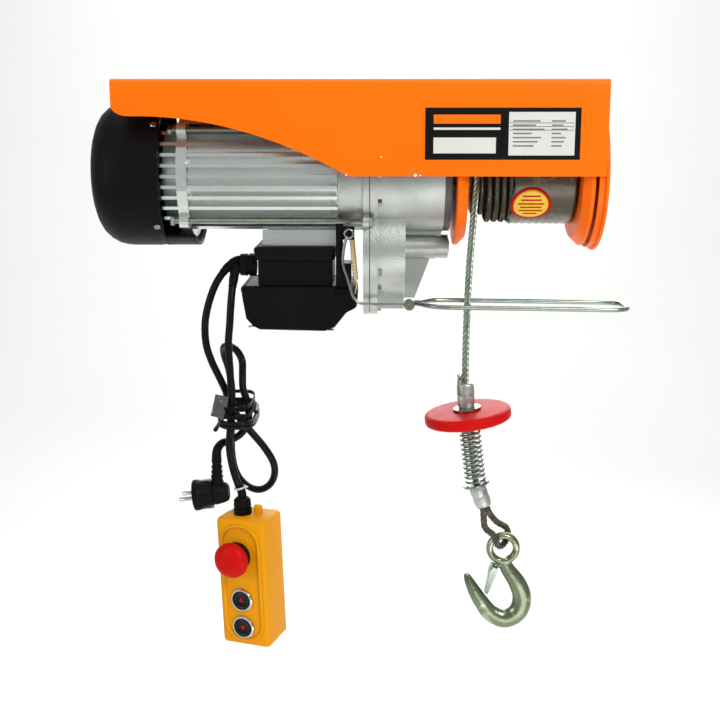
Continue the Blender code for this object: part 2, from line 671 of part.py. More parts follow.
hook_line = [(153.5, ROPE_Y, -499), (159, ROPE_Y, -510), (169, ROPE_Y, -525), (174.5, ROPE_Y, -542),
             (170, ROPE_Y, -558.5), (157, ROPE_Y, -566), (142, ROPE_Y, -560.5), (131, ROPE_Y, -547),
             (122.5, ROPE_Y, -533), (116.5, ROPE_Y, -521), (114, ROPE_Y, -515.5)]
hook_radii = [6.6, 7.6, 9.2, 10.2, 10.2, 10.0, 8.6, 7.0, 5.4, 3.4, 1.6]
hook = tube("hook", hook_line, 10, "zinc_steel", 2, radii=hook_radii)
for vert in hook.data.vertices:
    vert.co.y = ROPE_Y * MM + (vert.co.y - ROPE_Y * MM) * 0.72
eye_ring = [(5 * math.sin(a), 14.2 + 3.9 * math.cos(a)) for a in
            (math.radians(90 - 36 * i) for i in range(10))]
join(hook, turned("hook_eye", eye_ring[::1], (EYE[0], EYE[2]), "y", steps=20, closed=True))
bpy.data.objects["hook_eye"].location.y = ROPE_Y * MM

LATCH_AT = (143.0, ROPE_Y, -507.0)
latch = between("hook_latch", LATCH_AT, (135.6, ROPE_Y, -536.5), 2.1, "zinc_steel", 12, flat=2.0)

# ---------------------------------------------------------------- pendant control

pendant = bpy.data.objects.new("pendant", None)
PARTS.objects.link(pendant)
pendant.location = Vector(PENDANT_AT) * MM
pendant.rotation_euler = (Matrix.Rotation(math.radians(PENDANT_LEAN), 3, "Y")
                          @ Matrix.Rotation(math.radians(PENDANT_YAW), 3, "Z")).to_euler()


def on_pendant(*objects):
    for obj in objects:
        obj.parent = pendant
    return objects[0]


def shell(name, low_y, high_y, trim_low, trim_high):
    """One half of the rounded case, open where the two halves meet."""
    w, d, h = PENDANT_W / 2, PENDANT_D / 2, PENDANT_H
    body = on_pendant(box(name, (-w, -d, -h), (w, d, 0), "yellow_plastic", 5, 3))
    room = on_pendant(box(f"{name}_room", (3 - w, low_y, 3 - h), (w - 3, high_y, -3)))
    other = on_pendant(box(f"{name}_trim", (-60, trim_low, -h - 20), (60, trim_high, 20)))
    cut(body, room, other)
    return body


front = shell("pendant_front", 3 - PENDANT_D / 2, 5, -0.15, 60)
shell("pendant_back", -5, PENDANT_D / 2 - 3, -60, 0.15)
FACE = -PENDANT_D / 2
BUTTON_X = -1.0
ESTOP_AT = (-3.0, -40.0)
UP_AT = (BUTTON_X, -90.0)
DOWN_AT = (BUTTON_X, -121.0)
cut(front, on_pendant(cylinder("estop_hole", 9.5, FACE - 5, FACE + 6, ESTOP_AT, "y", sides=28)))
for number, at in enumerate((UP_AT, DOWN_AT)):
    cut(front, on_pendant(cylinder(f"button_hole_{number}", 10.5, FACE - 5, FACE + 6, at, "y",
                                   sides=28)))
head = [(-FACE + 25, 0), (-FACE + 24.6, 8), (-FACE + 22, 15), (-FACE + 18, 18.6), (-FACE + 13.5, 19),
        (-FACE + 11, 17), (-FACE + 11, 9.1), (-FACE - 6, 9.1), (-FACE - 6, 4), (-FACE - 10, 4),
        (-FACE - 10, 0)]
on_pendant(turned("estop_button", head, ESTOP_AT, "y", "red_plastic", 18))
cap = [(-FACE + 3.4, 0), (-FACE + 3.4, 8.6), (-FACE + 2.4, 10), (-FACE - 4, 10), (-FACE - 4, 4),
       (-FACE - 10, 4), (-FACE - 10, 0)]
on_pendant(turned("up_button", cap, UP_AT, "y", "black_plastic", 16))
on_pendant(turned("down_button", cap, DOWN_AT, "y", "black_plastic", 16))
on_pendant(box("switch_block", (-17, -6.5, -134), (17, 12, -14), "black_plastic"))

GLAND_AT = (-5.0, -4.0)
gland = on_pendant(turned("pendant_gland", [(18, CORD_R + 1.4), (18, 7.2), (14, 9.6), (GAP, 9.6),
                                            (GAP, 2.0), (9, 2.0), (9, CORD_R + 1.4)],
                          GLAND_AT, "z", "black_plastic", 12, closed=True))

# ---------------------------------------------------------------- cords

power_route = [(-124.4, -17.5, -181.5), (-128.6, -17.5, -181.6), (-138, -18.5, -188.5),
               (-149, -22, -203), (-157, -26, -223), (-161.6, -28, -245), (-161, -28, -269),
               (-156, -28, -286), (-148.5, -28, -303), (-142, -28, -318), (-137, -28.5, -333),
               (-128, -31, -347), (-114.5, -34, -362), (-101, -34, -379), (-92, -32, -397),
               (-92.5, -27, -413), (-100, -20, -426), (-112, -12, -432.5), (-125, -4, -430),
               (-136, 4, -420), (-141.5, 10, -403), (-142.5, 13, -380), (-141.5, 15, -350),
               (-141, 15, -325), (-144, 14, -303), (-148, 11, -287), (-147, 3, -277.5),
               (-140, -7, -274), (-131, -17, -276.5), (-124.5, -24, -286), (-124, -26, -300),
               (-124, -25, -316), (-120.5, -22, -330), (-119, -20, -345), (-121.5, -20, -358),
               (-129, -22, -368), (-139, -26, -373), (-146.5, -33, -374), (-150.6, -41, -378.5),
               (-151.2, -44, -385), (-151.2, -44, -390.5)]
tube("power_cord", cord_path(power_route, 16.5), CORD_R, "black_rubber")

frame_of = pendant.rotation_euler.to_matrix()
cord_seat = Vector(PENDANT_AT) + frame_of @ Vector((*GLAND_AT, 9.4))
cord_above = Vector(PENDANT_AT) + frame_of @ Vector((*GLAND_AT, 24))
pendant_route = [(-124.6, -26.5, -188.5), (-128.2, -26.5, -188.6), (-131.2, -32, -204), (-133, -38, -224),
                 (-134.5, -40.5, -246), (-136, -41.5, -263), (-135, -42, -295), (-134, -43, -325),
                 (-135.5, -45, -350), (-137, -46.5, -375), (-134.5, -46.5, -395),
                 (-130, -46, -412), tuple(cord_above), tuple(cord_seat)]
tube("pendant_cord", cord_path(pendant_route, 16.5), CORD_R, "black_rubber")

plug = cylinder("plug", 5.2, -391, -418, (-151.2, -44), "z", "black_plastic", 20, end_radius=7)
plug.rotation_euler = (math.pi, 0, 0)
plug_body = between("plug_body", (-139, -44, -424), (-176, -44, -428.5), 11, sides=28, end_radius=16.5)
plug_body.rotation_euler = (0, math.atan2(-37, -4.5), 0)
join(plug, plug_body)
for number, offset in enumerate((-9.5, 9.5)):
    pin = between(f"plug_pin_{number}", (-173, -44 + offset, -428.1), (-191, -44 + offset, -430.3), 2.4,
                  sides=12)
    join(plug, pin)

# ---------------------------------------------------------------- shading

for obj in PARTS.objects:
    if obj.type == "MESH":
        obj.data.shade_smooth()
        obj.data.set_sharp_from_angle(angle=math.radians(35))
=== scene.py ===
"""Looks for the electric wire rope hoist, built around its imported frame. Lengths are millimetres."""
from math import copysign, cos, pi, radians, sin, sqrt

import bmesh
import bpy
from mathutils import Matrix, Vector


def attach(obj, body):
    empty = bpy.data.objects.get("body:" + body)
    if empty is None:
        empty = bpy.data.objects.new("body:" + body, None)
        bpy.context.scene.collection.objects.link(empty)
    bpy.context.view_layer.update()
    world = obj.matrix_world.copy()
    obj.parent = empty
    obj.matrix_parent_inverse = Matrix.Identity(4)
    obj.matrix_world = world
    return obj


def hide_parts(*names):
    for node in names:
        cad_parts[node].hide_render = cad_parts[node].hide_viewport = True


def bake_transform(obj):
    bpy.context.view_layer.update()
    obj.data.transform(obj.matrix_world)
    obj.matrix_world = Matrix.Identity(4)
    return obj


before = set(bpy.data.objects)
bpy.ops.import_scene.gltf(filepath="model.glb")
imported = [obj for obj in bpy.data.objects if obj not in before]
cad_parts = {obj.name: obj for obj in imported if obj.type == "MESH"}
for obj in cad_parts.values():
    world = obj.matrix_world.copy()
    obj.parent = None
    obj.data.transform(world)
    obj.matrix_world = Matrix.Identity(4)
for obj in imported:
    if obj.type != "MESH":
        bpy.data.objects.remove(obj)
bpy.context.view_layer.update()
MM = 0.001

# ---- camera, light and floor

scene = bpy.context.scene


def linked(name, data):
    """An object in the scene for this mesh, lamp or camera."""
    obj = bpy.data.objects.new(name, data)
    scene.collection.objects.link(obj)
    return obj


def aimed(at, target):
    """Rotation of a lamp or camera that looks at the target."""
    return (Vector(target) - Vector(at)).to_track_quat("-Z", "Y").to_euler()


CAMERA_AT, LOOKED_AT = (15, -1179, -40), (0.5, -79, -273.6)
camera = linked("camera", bpy.data.cameras.new("camera"))
camera.data.lens = 56.15
camera.data.sensor_width = 36
camera.data.clip_start = 0.05
camera.location = Vector(CAMERA_AT) * MM
camera.rotation_euler = aimed(CAMERA_AT, LOOKED_AT)
scene.camera = camera
scene.view_settings.view_transform = "Standard"
scene.view_settings.look = "None"


def lamp(name, at, size, power, aim=(0, 0, -0.2)):
    """White square lamp, its place and size in metres and its power in watts."""
    light = bpy.data.lights.new(name, "AREA")
    light.energy = power
    light.size = size
    obj = linked(name, light)
    obj.location = at
    obj.rotation_euler = aimed(at, aim)


lamp("key", (1.0, -1.6, 1.0), 0.9, 26)
lamp("fill", (-1.7, -1.3, 0.1), 1.0, 9)
lamp("top", (0.0, 0.3, 1.7), 1.6, 18)
lamp("low", (0.5, -1.1, -1.1), 0.9, 6)
lamp("back", (0.4, 1.8, 0.6), 1.5, 22)
lamp("wall", (0, 1.9, 2.4), 2.0, 75, (0, 4.5, 0.3))
lamp("ground", (0, -0.6, 2.2), 2.0, 12, (0, 1.2, -1.2))
world = bpy.data.worlds.new("studio")
scene.world = world
world.use_nodes = True
world.node_tree.nodes["Background"].inputs["Color"].default_value = (1, 1, 1, 1)
world.node_tree.nodes["Background"].inputs["Strength"].default_value = 0.45

# ---- materials

COAT_ROUGH, DIRT_EDGE, BUMP_DEPTH = 0.15, 0.06, 0.0006


def surface(name, colour, rough, metal=0.0, coat=0.0, vary=0.10, size=18.0, bump=0.0, bump_size=350.0,
            rough_vary=0.08, dirt=None, dirt_size=40.0, dirt_from=0.62, stretch=(1, 1, 1), spec=None):
    """Principled surface whose colour, roughness and relief vary by noise in the object's own space."""
    mat = bpy.data.materials.new(name)
    mat.use_nodes = True
    tree = mat.node_tree
    shader = tree.nodes["Principled BSDF"]
    specular = spec or (0.5 if metal or max(colour) > 0.05 else 0.2)
    for socket, value in (("Metallic", metal), ("Coat Weight", coat), ("Coat Roughness", COAT_ROUGH),
                          ("Specular IOR Level", specular)):
        shader.inputs[socket].default_value = value
    place = tree.nodes.new("ShaderNodeTexCoord")
    mapping = tree.nodes.new("ShaderNodeMapping")
    mapping.inputs["Scale"].default_value = stretch
    tree.links.new(place.outputs["Object"], mapping.inputs["Vector"])

    def noise(scale, detail=4.0):
        node = tree.nodes.new("ShaderNodeTexNoise")
        node.inputs["Scale"].default_value = scale
        node.inputs["Detail"].default_value = detail
        tree.links.new(mapping.outputs["Vector"], node.inputs["Vector"])
        return node

    ramp = tree.nodes.new("ShaderNodeValToRGB")
    for stop, at, share in zip(ramp.color_ramp.elements, (0.3, 0.7), (1 - vary, 1 + vary)):
        stop.position = at
        stop.color = (*[min(1, c * share) for c in colour], 1)
    tree.links.new(noise(size).outputs["Fac"], ramp.inputs["Fac"])
    out = ramp.outputs["Color"]
    if dirt:
        mask = tree.nodes.new("ShaderNodeMapRange")
        mask.inputs["From Min"].default_value = dirt_from
        mask.inputs["From Max"].default_value = dirt_from + DIRT_EDGE
        tree.links.new(noise(dirt_size, 6).outputs["Fac"], mask.inputs["Value"])
        mix = tree.nodes.new("ShaderNodeMix")
        mix.data_type = "RGBA"
        mix.inputs["B"].default_value = (*dirt, 1)
        tree.links.new(mask.outputs["Result"], mix.inputs["Factor"])
        tree.links.new(out, mix.inputs["A"])
        out = mix.outputs["Result"]
    tree.links.new(out, shader.inputs["Base Color"])
    spread = tree.nodes.new("ShaderNodeMapRange")
    spread.inputs["To Min"].default_value = max(0.02, rough - rough_vary)
    spread.inputs["To Max"].default_value = min(1, rough + rough_vary)
    tree.links.new(noise(size * 3.1).outputs["Fac"], spread.inputs["Value"])
    tree.links.new(spread.outputs["Result"], shader.inputs["Roughness"])
    if bump:
        relief = tree.nodes.new("ShaderNodeBump")
        relief.inputs["Strength"].default_value = bump
        relief.inputs["Distance"].default_value = BUMP_DEPTH
        tree.links.new(noise(bump_size, 3).outputs["Fac"], relief.inputs["Height"])
        tree.links.new(relief.outputs["Normal"], shader.inputs["Normal"])
    return mat


MATS = {
    "orange": surface("orange_enamel", (0.93, 0.150, 0.0003), 0.38, coat=0.03, spec=0.12, vary=0.05, size=5,
                      bump=0.10, bump_size=260, dirt=(0.60, 0.14, 0.01), dirt_size=150, dirt_from=0.73),
    "cast": surface("die_cast", (0.45, 0.48, 0.45), 0.38, 0.85, vary=0.16, size=22, bump=0.45, bump_size=520,
                    dirt=(0.22, 0.22, 0.19), dirt_size=30, dirt_from=0.66),
    "motor": surface("extruded_aluminium", (0.66, 0.70, 0.67), 0.27, 0.85, vary=0.10, size=20, bump=0.2,
                     bump_size=420, stretch=(0.15, 1, 1)),
    "dark_cast": surface("dark_end_plate", (0.10, 0.10, 0.095), 0.45, 0.6, vary=0.2, size=25, bump=0.3),
    "black": surface("black_nylon", (0.0035, 0.0035, 0.0035), 0.46, spec=0.08, vary=0.25, size=30, bump=0.35,
                     bump_size=700),
    "gloss_black": surface("black_gloss", (0.006, 0.006, 0.006), 0.22, coat=0.1, spec=0.15, vary=0.2, size=40,
                           bump=0.05),
    "jacket": surface("cord_jacket", (0.004, 0.004, 0.004), 0.32, spec=0.14, vary=0.3, size=60, bump=0.2,
                      bump_size=300),
    "zinc": surface("bright_zinc", (0.27, 0.32, 0.28), 0.24, 1.0, vary=0.14, size=60, bump=0.15, bump_size=500,
                    dirt=(0.34, 0.35, 0.25), dirt_size=70, dirt_from=0.62),
    "hook": surface("hook_zinc", (0.19, 0.23, 0.15), 0.26, 1.0, vary=0.20, size=45, bump=0.35, bump_size=260,
                    dirt=(0.42, 0.44, 0.30), dirt_size=55, dirt_from=0.56),
    "gold": surface("yellow_zinc", (0.66, 0.47, 0.13), 0.32, 1.0, vary=0.2, size=90, bump=0.1),
    "steel": surface("ground_steel", (0.46, 0.46, 0.44), 0.30, 1.0, vary=0.1, size=50, bump=0.1),
    "gear": surface("gear_steel", (0.26, 0.26, 0.25), 0.36, 1.0, vary=0.15, size=40, bump=0.15),
    "laminated": surface("laminations", (0.17, 0.17, 0.18), 0.5, 0.9, vary=0.3, size=160, bump=0.3,
                         stretch=(12, 1, 1)),
    "copper": surface("enamelled_copper", (0.48, 0.17, 0.05), 0.35, 0.9, vary=0.3, size=120, bump=0.5),
    "rope": surface("galvanised_strand", (0.27, 0.33, 0.27), 0.34, 0.95, vary=0.22, size=300, bump=0.3,
                    dirt=(0.20, 0.21, 0.15), dirt_size=150, dirt_from=0.62),
    "grease": surface("greased_strand", (0.075, 0.07, 0.045), 0.36, 0.7, vary=0.35, size=120, bump=0.4,
                      dirt=(0.20, 0.19, 0.11), dirt_size=160, dirt_from=0.62),
    "red": surface("red_moulding", (0.52, 0.004, 0.003), 0.42, coat=0.0, spec=0.08, vary=0.06, size=18, bump=0.06),
    "yellow": surface("yellow_abs", (0.74, 0.30, 0.0008), 0.42, coat=0.0, spec=0.12, vary=0.05, size=14, bump=0.12,
                      bump_size=600),
    "paper": surface("gasket_paper", (0.20, 0.11, 0.05), 0.8, vary=0.2, size=80, bump=0.3),
    "chrome": surface("chrome_bezel", (0.58, 0.60, 0.60), 0.12, 1.0, vary=0.03, size=40, rough_vary=0.04),
    "white": surface("label_white", (0.62, 0.63, 0.58), 0.4, vary=0.03, size=60, bump=0.03),
    "label": surface("label_black", (0.005, 0.005, 0.006), 0.34, spec=0.12, vary=0.15, size=40, bump=0.03),
    "tag": surface("worn_tag", (0.05, 0.055, 0.06), 0.5, vary=0.3, size=140, bump=0.2, dirt=(0.62, 0.66, 0.68),
                   dirt_size=210, dirt_from=0.60),
    "sticker": surface("sticker_yellow", (0.80, 0.55, 0.02), 0.35, vary=0.08, size=60, bump=0.05),
    "film": surface("amber_film", (0.055, 0.036, 0.007), 0.26, coat=0.25, vary=0.35, size=26, bump=0.8, bump_size=70,
                    dirt=(0.13, 0.10, 0.03), dirt_size=50, dirt_from=0.60),
    "print": surface("grey_print", (0.16, 0.16, 0.17), 0.5, vary=0.2, size=200, bump=0.03),
    "chip": surface("bare_chip", (0.80, 0.78, 0.70), 0.5, vary=0.1, size=90, bump=0.2),
}

NODE_MATS = {
    "orange": "frame_cover end_support drum",
    "cast": "gearbox_housing gearbox_cover upper_ferrule lower_ferrule",
    "motor": "stator_housing rear_end_shield box_pad capacitor",
    "black": "fan_cover fan box_base box_cover limit_switch cable_gland pendant_gland switch_block plug",
    "gloss_black": "up_button down_button",
    "zinc": "motor_stud_1 motor_stud_2 motor_stud_3 motor_stud_4 limit_arm limit_bail bumper_spring hook_latch",
    "hook": "hook",
    "gold": "limit_spring",
    "steel": "motor_bearing_rear motor_bearing_front shaft_a_bearing shaft_b_bearing drum_bearing_left "
             "drum_bearing_right",
    "gear": "motor_shaft shaft_a shaft_b shaft_a_gear shaft_b_gear drum_gear",
    "laminated": "stator_core rotor_core brake_coil",
    "copper": "winding_front winding_rear",
    "rope": "hanging_rope lower_rope",
    "grease": "wound_rope rope_eye",
    "red": "stop_disc estop_button",
    "yellow": "pendant_front pendant_back",
    "paper": "gearbox_gasket",
    "jacket": "power_cord pendant_cord",
}
for key, names in NODE_MATS.items():
    for node_name in names.split():
        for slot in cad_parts[node_name].material_slots:
            slot.material = MATS[key]

# ---- mesh helpers


def add(name, verts, faces, look, body, replaces=(), sharp=35, free=False):
    """A finished piece from points in millimetres, with its look, its body and what it stands for."""
    mesh = bpy.data.meshes.new(name)
    mesh.from_pydata([tuple(Vector(v) * MM) for v in verts], [], faces)
    bm = bmesh.new()
    bm.from_mesh(mesh)
    bmesh.ops.remove_doubles(bm, verts=bm.verts, dist=2e-6)
    bmesh.ops.recalc_face_normals(bm, faces=bm.faces)
    bm.to_mesh(mesh)
    bm.free()
    return finish_piece(linked(name, mesh), look, body, replaces, sharp, free)


def finish_piece(obj, look, body, replaces=(), sharp=35, free=False):
    """Material, shading and body. A free piece is left without a body."""
    obj.data.materials.clear()
    obj.data.materials.append(MATS[look])
    obj.data.shade_smooth()
    if sharp:
        obj.data.set_sharp_from_angle(angle=radians(sharp))
    if not free:
        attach(obj, body)
    if replaces:
        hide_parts(*replaces)
    return obj


def thicken(obj, width, offset):
    """Give a sheet its thickness: offset -1 is inwards, 1 outwards, 0 both ways."""
    mod = obj.modifiers.new("thickness", "SOLIDIFY")
    mod.thickness = width * MM
    mod.offset = offset


def bevel(obj, width, segments=2, angle=30):
    mod = obj.modifiers.new("edge", "BEVEL")
    mod.width = width * MM
    mod.segments = segments
    mod.limit_method = "ANGLE"
    mod.angle_limit = radians(angle)
    return obj


def angles(count):
    """Equal steps round a full turn."""
    return [2 * pi * k / count for k in range(count)]


def grid(rows, n, ring=True, loop=False, first=0):
    """Quads between rows of n points. A row may close on itself, and the last row may join the first."""
    faces = []
    for i in range(rows if loop else rows - 1):
        a, b = first + i * n, first + (i + 1) % rows * n
        faces += [[a + k, a + (k + 1) % n, b + (k + 1) % n, b + k] for k in range(n if ring else n - 1)]
    return faces


def tube(rows, n):
    """Rings of n points joined into a tube with both ends filled."""
    return grid(rows, n) + [list(range(n))[::-1], list(range((rows - 1) * n, rows * n))]


def basis(way):
    """The unit direction and two unit directions square to it."""
    way = Vector(way).normalized()
    up = Vector((0, 0, 1)) if abs(way.z) < 0.9 else Vector((0, 1, 0))
    side = way.cross(up).normalized()
    return way, side, side.cross(way)


def lathe(name, profile, origin, way, look, body, replaces=(), steps=96, closed=False, sharp=30):
    """Turned piece from a profile of (distance along the axis, radius)."""
    way, side, up = basis(way)
    origin = Vector(origin)
    verts, faces = [], []
    for turn in angles(steps):
        out = side * cos(turn) + up * sin(turn)
        verts += [origin + way * a + out * r for a, r in profile]
    n = len(profile)
    for k in range(steps):
        j = (k + 1) % steps
        for i in range(n if closed else n - 1):
            m = (i + 1) % n
            quad = [k * n + i, k * n + m, j * n + m, j * n + i]
            if profile[i][1] < 1e-6:
                quad = quad[:3]
            elif profile[m][1] < 1e-6:
                quad = [quad[0], quad[1], quad[3]]
            faces.append(quad)
    return add(name, verts, faces, look, body, replaces, sharp)


def smooth_path(points, spacing):
    """Evenly spaced points on a smooth curve through a route's own points."""
    route = [Vector(p) for p in points]
    route = [route[0] * 2 - route[1]] + route + [route[-1] * 2 - route[-2]]
    fine = []
    for i in range(1, len(route) - 2):
        p0, p1, p2, p3 = route[i - 1:i + 3]
        t1 = (p1 - p0).length ** 0.5
        t2 = t1 + (p2 - p1).length ** 0.5
        t3 = t2 + (p3 - p2).length ** 0.5
        for k in range(16):
            t = t1 + (t2 - t1) * k / 16
            a1 = p0 * ((t1 - t) / t1) + p1 * (t / t1)
            a2 = p1 * ((t2 - t) / (t2 - t1)) + p2 * ((t - t1) / (t2 - t1))
            a3 = p2 * ((t3 - t) / (t3 - t2)) + p3 * ((t - t2) / (t3 - t2))
            b1 = a1 * ((t2 - t) / t2) + a2 * (t / t2)
            b2 = a2 * ((t3 - t) / (t3 - t1)) + a3 * ((t - t1) / (t3 - t1))
            fine.append(b1 * ((t2 - t) / (t2 - t1)) + b2 * ((t - t1) / (t2 - t1)))
    fine.append(route[-2])
    total = sum((b - a).length for a, b in zip(fine, fine[1:]))
    count = max(2, round(total / spacing))
    even = [fine[0]]
    walked, target = 0.0, total / count
    for a, b in zip(fine, fine[1:]):
        step = (b - a).length
        while walked + step >= target - 1e-6 and len(even) < count:
            even.append(a.lerp(b, (target - walked) / step))
            target += total / count
        walked += step
    even.append(fine[-1])
    return even


def sweep(name, points, ring_at, look, body, replaces=(), closed=False, free=False, sharp=None):
    """Sweep of a section, which may change along the way, with ends filled."""
    points = [Vector(p) for p in points]
    count = len(points)
    verts = []
    normal = None
    walked = 0.0
    for i, p in enumerate(points):
        if closed:
            way = (points[(i + 1) % count] - points[i - 1]).normalized()
        else:
            way = (points[min(i + 1, count - 1)] - points[max(i - 1, 0)]).normalized()
        if normal is None:
            normal = basis(way)[1]
        normal = (normal - way * normal.dot(way)).normalized()
        other = way.cross(normal)
        section = ring_at(i, walked)
        verts += [p + normal * u + other * v for u, v in section]
        if i < count - 1:
            walked += (points[i + 1] - p).length
    n = len(section)
    faces = grid(count, n, loop=True) if closed else tube(count, n)
    return add(name, verts, faces, look, body, replaces, sharp, free)


def round_ring(radius, sides=20):
    return [(radius * cos(a), radius * sin(a)) for a in angles(sides)]


def strand_ring(radius, lay, sides=24, strands=6, depth=0.36):
    """Section of a stranded rope, turned on as it runs."""
    def at(_, walked):
        spin = 2 * pi * walked / lay
        pts = []
        for angle in angles(sides):
            r = radius * (1 - depth + depth * abs(cos(strands / 2 * angle)) ** 0.8)
            pts.append((r * cos(angle + spin), r * sin(angle + spin)))
        return pts
    return at


def rod(name, points, radius, look, body, replaces=(), sides=18, closed=False, **more):
    return sweep(name, points, lambda i, s: round_ring(radius, sides), look, body, replaces, closed, **more)


def block(name, low, high, look, round_by=0.8, segments=2, turn=None, at=None):
    """Box on the frame between two corners, with rounded edges, turned and moved if asked."""
    x0, y0, z0 = low
    x1, y1, z1 = high
    verts = [(x, y, z) for x in (x0, x1) for y in (y0, y1) for z in (z0, z1)]
    if turn is not None:
        verts = [Vector(at) + turn @ Vector(v) for v in verts]
    faces = [(0, 1, 3, 2), (4, 6, 7, 5), (0, 4, 5, 1), (2, 3, 7, 6), (0, 2, 6, 4), (1, 5, 7, 3)]
    return bevel(add(name, verts, faces, look, "frame"), round_by, segments)


def hexagon(name, at, way, across, height):
    """Hexagon head with a chamfered top and a washer face."""
    r = across / sqrt(3)
    return lathe(name, [(0, 0), (0, r * 0.98), (height * 0.82, r), (height, r * 0.86), (height, 0)], at, way,
                 "zinc", "frame", steps=6, sharp=20)


def pan_head(name, at, way, radius, height, look="zinc"):
    """Domed screw head with a recess."""
    prof = [(0, 0), (0, radius), (height * 0.55, radius * 0.96), (height * 0.9, radius * 0.7), (height, radius * 0.3),
            (height * 0.7, radius * 0.22), (height * 0.7, 0)]
    return lathe(name, prof, at, way, look, "frame", steps=24)


def arc(centre, radius, first, last, count):
    """Points on an arc between two angles in degrees."""
    return [(centre[0] + radius * cos(radians(first + (last - first) * i / count)),
             centre[1] + radius * sin(radians(first + (last - first) * i / count)))
            for i in range(count + 1)]


X, Y = (1, 0, 0), (0, 1, 0)
AXIS_Z = -93.0
AXIS = (0.0, 0.0, AXIS_Z)


def round_drum(x, radius, turn):
    """The point at this distance and angle from the drum's axis."""
    return x, radius * cos(turn), AXIS_Z + radius * sin(turn)


# ---- cords first

CORD_R, CORD_SPACING = 3.9, 3.0
power_route = [
    (-124.4, -17.5, -181.5), (-128.6, -17.5, -181.6), (-138, -18.5, -188.5), (-149, -22, -203), (-157, -26, -223),
    (-161.6, -28, -245), (-161, -28, -269), (-156, -28, -286), (-148.5, -28, -303), (-142, -28, -318),
    (-137, -28.5, -333), (-128, -31, -347), (-114.5, -34, -362), (-101, -34, -379), (-92, -32, -397),
    (-92.5, -27, -413), (-100, -20, -426), (-112, -12, -432.5), (-125, -4, -430), (-136, 4, -420),
    (-141.5, 10, -403), (-142.5, 13, -380), (-141.5, 15, -350), (-141, 15, -325), (-144, 14, -303),
    (-148, 11, -287), (-147, 3, -277.5), (-140, -7, -274), (-131, -17, -276.5), (-124.5, -24, -286),
    (-124, -26, -300), (-124, -25, -316), (-120.5, -22, -330), (-119, -20, -345), (-121.5, -20, -358),
    (-129, -22, -368), (-139, -26, -373), (-146.5, -33, -374), (-150.6, -41, -378.5), (-151.2, -44, -385),
    (-151.2, -44, -390.5)]
PENDANT_AT = Vector((-118.8, -40.0, -449.0))
TURN = Matrix.Rotation(radians(-2), 3, "Y") @ Matrix.Rotation(radians(-22), 3, "Z")
GLAND_AT = (-5.0, -4.0)
cord_seat = PENDANT_AT + TURN @ Vector((*GLAND_AT, 9.4))
cord_above = PENDANT_AT + TURN @ Vector((*GLAND_AT, 24))
pendant_route = [
    (-124.6, -26.5, -188.5), (-128.2, -26.5, -188.6), (-131.2, -32, -204), (-133, -38, -224),
    (-134.5, -40.5, -246), (-136, -41.5, -263), (-135, -42, -295), (-134, -43, -325), (-135.5, -45, -350),
    (-137, -46.5, -375), (-134.5, -46.5, -395), (-130, -46, -412), tuple(cord_above), tuple(cord_seat)]


def cord_path(route, spacing):
    """Smooth path that leaves both ends straight."""
    start, end = Vector(route[0]), Vector(route[-1])
    inner = [tuple(start + (Vector(route[1]) - start).normalized() * 2.5)] + route[1:-1]
    inner.append(tuple(end + (Vector(route[-2]) - end).normalized() * 2.5))
    return [start] + smooth_path(inner, spacing) + [end]


power_points = cord_path(power_route, CORD_SPACING)
power_cord = rod("mains_lead", power_points, CORD_R, "jacket", "frame", ("power_cord",), 20)
pendant_points = cord_path(pendant_route, CORD_SPACING)
pendant_cord = rod("control_lead", pendant_points, CORD_R, "jacket", "frame", ("pendant_cord",), 20)

ROPE_R, ROPE_Y = 3.6, -46.3
rope_line = [(x, ROPE_Y, z) for x, z in (
    (116.8, -93), (115.4, -114), (114, -134), (112.3, -159), (110.9, -182), (109.8, -210), (109.1, -240),
    (108.7, -271), (108.8, -304.6))]
hang_points = smooth_path(rope_line, 1.1)
hang = sweep("hoist_rope", hang_points, strand_ring(ROPE_R, 34), "rope", "frame", ("hanging_rope",), free=True,
             sharp=50)
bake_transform(hang)

# ---- plug, glands and ties


def ribbed(first, last, radius, end_radius, ribs, groove):
    """Profile of a tapered sleeve with grooves."""
    prof = [(first, 0), (first, radius)]
    for k in range(ribs):
        for part, less in ((0.15, 0), (0.35, groove), (0.7, groove), (0.85, 0)):
            share = (k + part) / ribs
            prof.append((first + (last - first) * share, radius + (end_radius - radius) * share - less))
    return prof + [(last, end_radius), (last, 0)]


plug_neck = lathe("plug_neck", ribbed(0, 27, 5.4, 7.2, 5, 0.9), (-151.2, -44, -391), (0, 0, -1), "black",
                  "frame", steps=40)
PLUG_AT = Vector((-139, -44, -424))
way = Vector((-37, 0, -4.5)).normalized()
body_prof = [(0, 0), (0, 7.5), (1.5, 9.6), (6, 11.2), (14, 12.6), (14.6, 12.0), (16, 12.0), (16.6, 13.0), (24, 14.3),
             (31, 15.8), (32, 16.4), (36.6, 16.4), (37.3, 15.8), (37.3, 0)]
plug_body = lathe("plug_body", body_prof, PLUG_AT, way, "black", "frame", ("plug",), steps=56)
for k, dy in enumerate((-9.5, 9.5)):
    start = PLUG_AT + Vector((0, dy, 0)) + way * 36
    lathe(f"plug_pin_{k}", [(0, 0), (0, 2.4), (14.4, 2.4), (16, 1.5), (16.2, 0)], start, way, "chrome",
                      "frame", steps=24)
for k, dz in enumerate((-1, 1)):
    start = PLUG_AT + way * 23 + Vector((0, 0, dz * 15.4))
    block(f"plug_clip_{k}", (-7, -2, -0.7), (7, 2, 0.7), "zinc", round_by=0.3,
                      turn=Matrix.Rotation(radians(-7), 3, "Y"), at=start)

